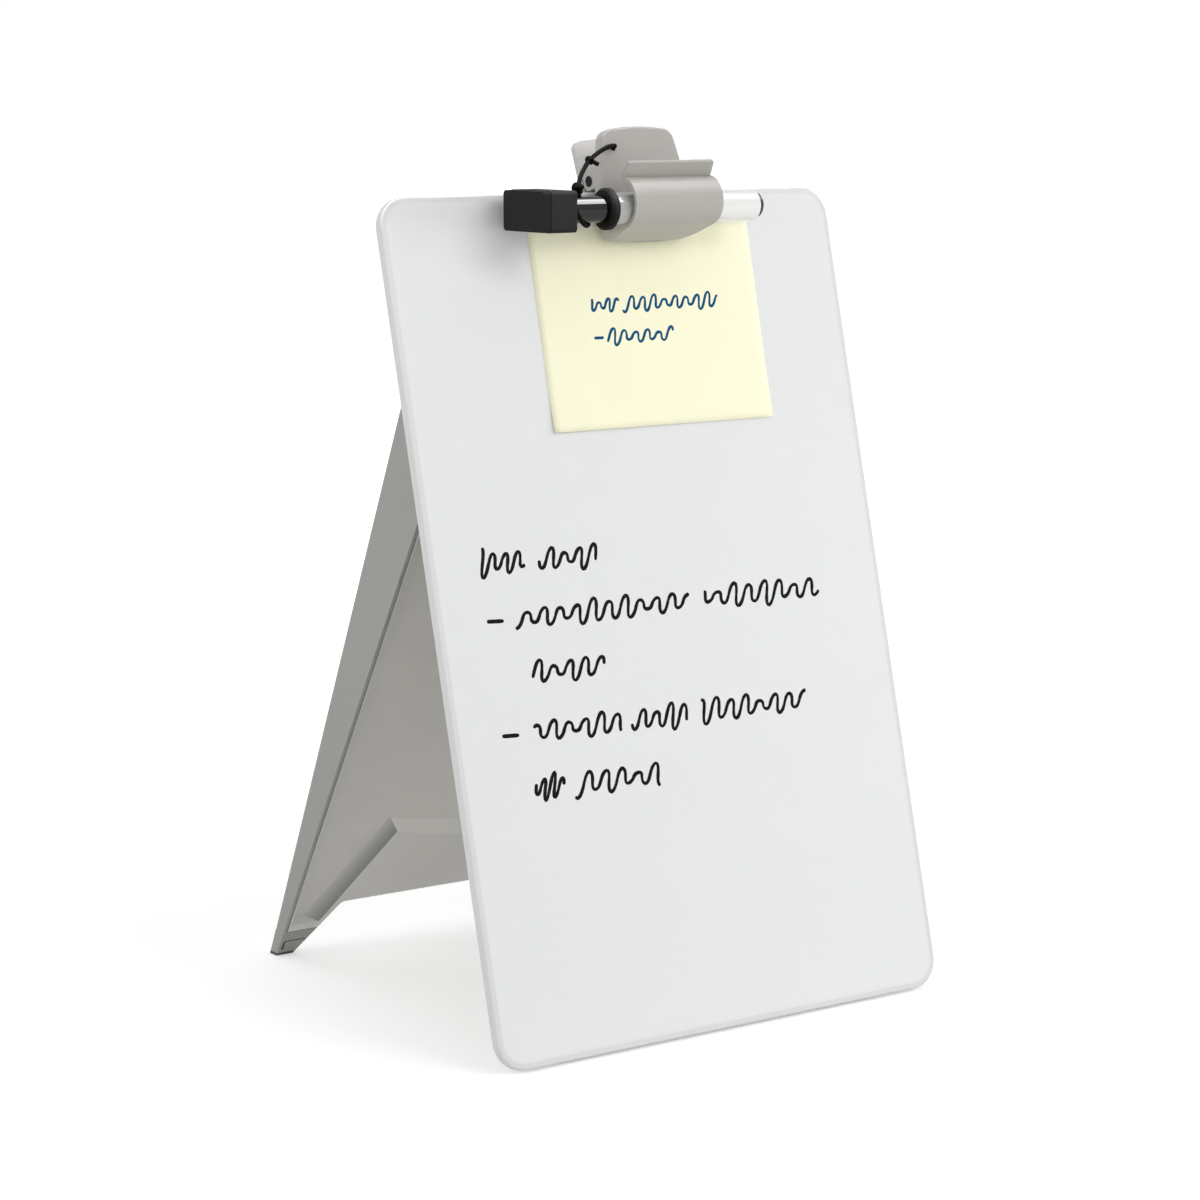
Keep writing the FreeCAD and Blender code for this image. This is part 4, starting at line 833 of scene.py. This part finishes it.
# Area lamps: name, place, width and height in metres, power in watts, the point they are aimed
# at, and whether they light matt surfaces
OBJECT_MIDDLE = (0, 0.06, 0.17)
LAMPS = (
    ("key", (0.5, -1.8, 1.42), (1.0, 0.8), 11.0, OBJECT_MIDDLE, True),
    ("right", (1.5, -0.7, 0.3), (0.9, 0.6), 8.5, OBJECT_MIDDLE, True),
    ("side", (-1.6, 0.3, 0.75), (0.8, 0.8), 5.5, OBJECT_MIDDLE, True),
    ("rear", (-0.3, 1.9, 1.3), (1.4, 1.2), 4.0, OBJECT_MIDDLE, True),
    ("panel", (0.0, -0.25, 1.3), (1.6, 0.9), 76.0, (0, 0.05, 0.3), False),
)


def white_rays(tree):
    """One for the rays that show the background itself: seen, mirrored or through glass."""
    path = tree.nodes.new("ShaderNodeLightPath").outputs
    seen = path["Is Camera Ray"]
    for other in ("Is Glossy Ray", "Is Transmission Ray"):
        join = tree.nodes.new("ShaderNodeMath")
        join.operation = "MAXIMUM"
        tree.links.new(seen, join.inputs[0])
        tree.links.new(path[other], join.inputs[1])
        seen = join.outputs[0]
    return seen


def add_floor():
    """A pale floor that keeps the object's shadow and grows into the white background."""
    far = FLOOR_HALF
    data = bpy.data.meshes.new("floor")
    data.from_pydata([(-far, -far, 0), (far, -far, 0), (far, far, 0), (-far, far, 0)],
                     [], [(0, 1, 2, 3)])
    floor = link_object("floor", data)
    made = Surface("floor", Roughness=0.9, Specular_IOR_Level=0.0)
    made.shader.inputs["Base Color"].default_value = tone(238, 238, 238)
    made.shader.inputs["Emission Color"].default_value = (1, 1, 1, 1)
    away = made.vector("LENGTH", made.place)
    glow = made.between(away, GLOW_NEAR, GLOW_FAR, start=GLOW_START, end=GLOW_END)
    made.fill("Emission Strength", made.math("MULTIPLY", glow, white_rays(made.material.node_tree)))
    floor.data.materials.append(made.material)


def add_world():
    """A plain white surround that is white where it shows and softer as a light."""
    world = bpy.data.worlds.new("studio")
    world.use_nodes = True
    tree = world.node_tree
    background = tree.nodes["Background"]
    background.inputs["Color"].default_value = (1, 1, 1, 1)
    strength = tree.nodes.new("ShaderNodeMapRange")
    strength.inputs["To Min"].default_value = WORLD_LIGHT
    strength.inputs["To Max"].default_value = 1.0
    tree.links.new(white_rays(tree), strength.inputs["Value"])
    tree.links.new(strength.outputs["Result"], background.inputs["Strength"])
    bpy.context.scene.world = world


def add_lamps():
    """A wide key in front of the board, softer lamps to both sides and behind, and a bright
    ceiling panel that shows only as a highlight on what is glossy."""
    for name, place, size, power, aim, on_matt in LAMPS:
        data = bpy.data.lights.new(name, "AREA")
        data.shape = "RECTANGLE"
        data.size, data.size_y = size
        data.energy = power
        lamp = link_object(name, data)
        lamp.location = place
        lamp.rotation_euler = (Vector(aim) - Vector(place)).to_track_quat("-Z", "Y").to_euler()
        lamp.visible_diffuse = on_matt


# The whole scene

add_camera()
materials = make_materials()
make_tether(materials)
dress_nodes(materials)
make_pin_shade_caps(materials)
make_boot_shade_beads(materials)
make_note(materials)
make_strokes(materials)
add_floor()
add_world()
add_lamps()
bpy.context.scene.view_settings.view_transform = "Standard"

bpy.context.view_layer.update()
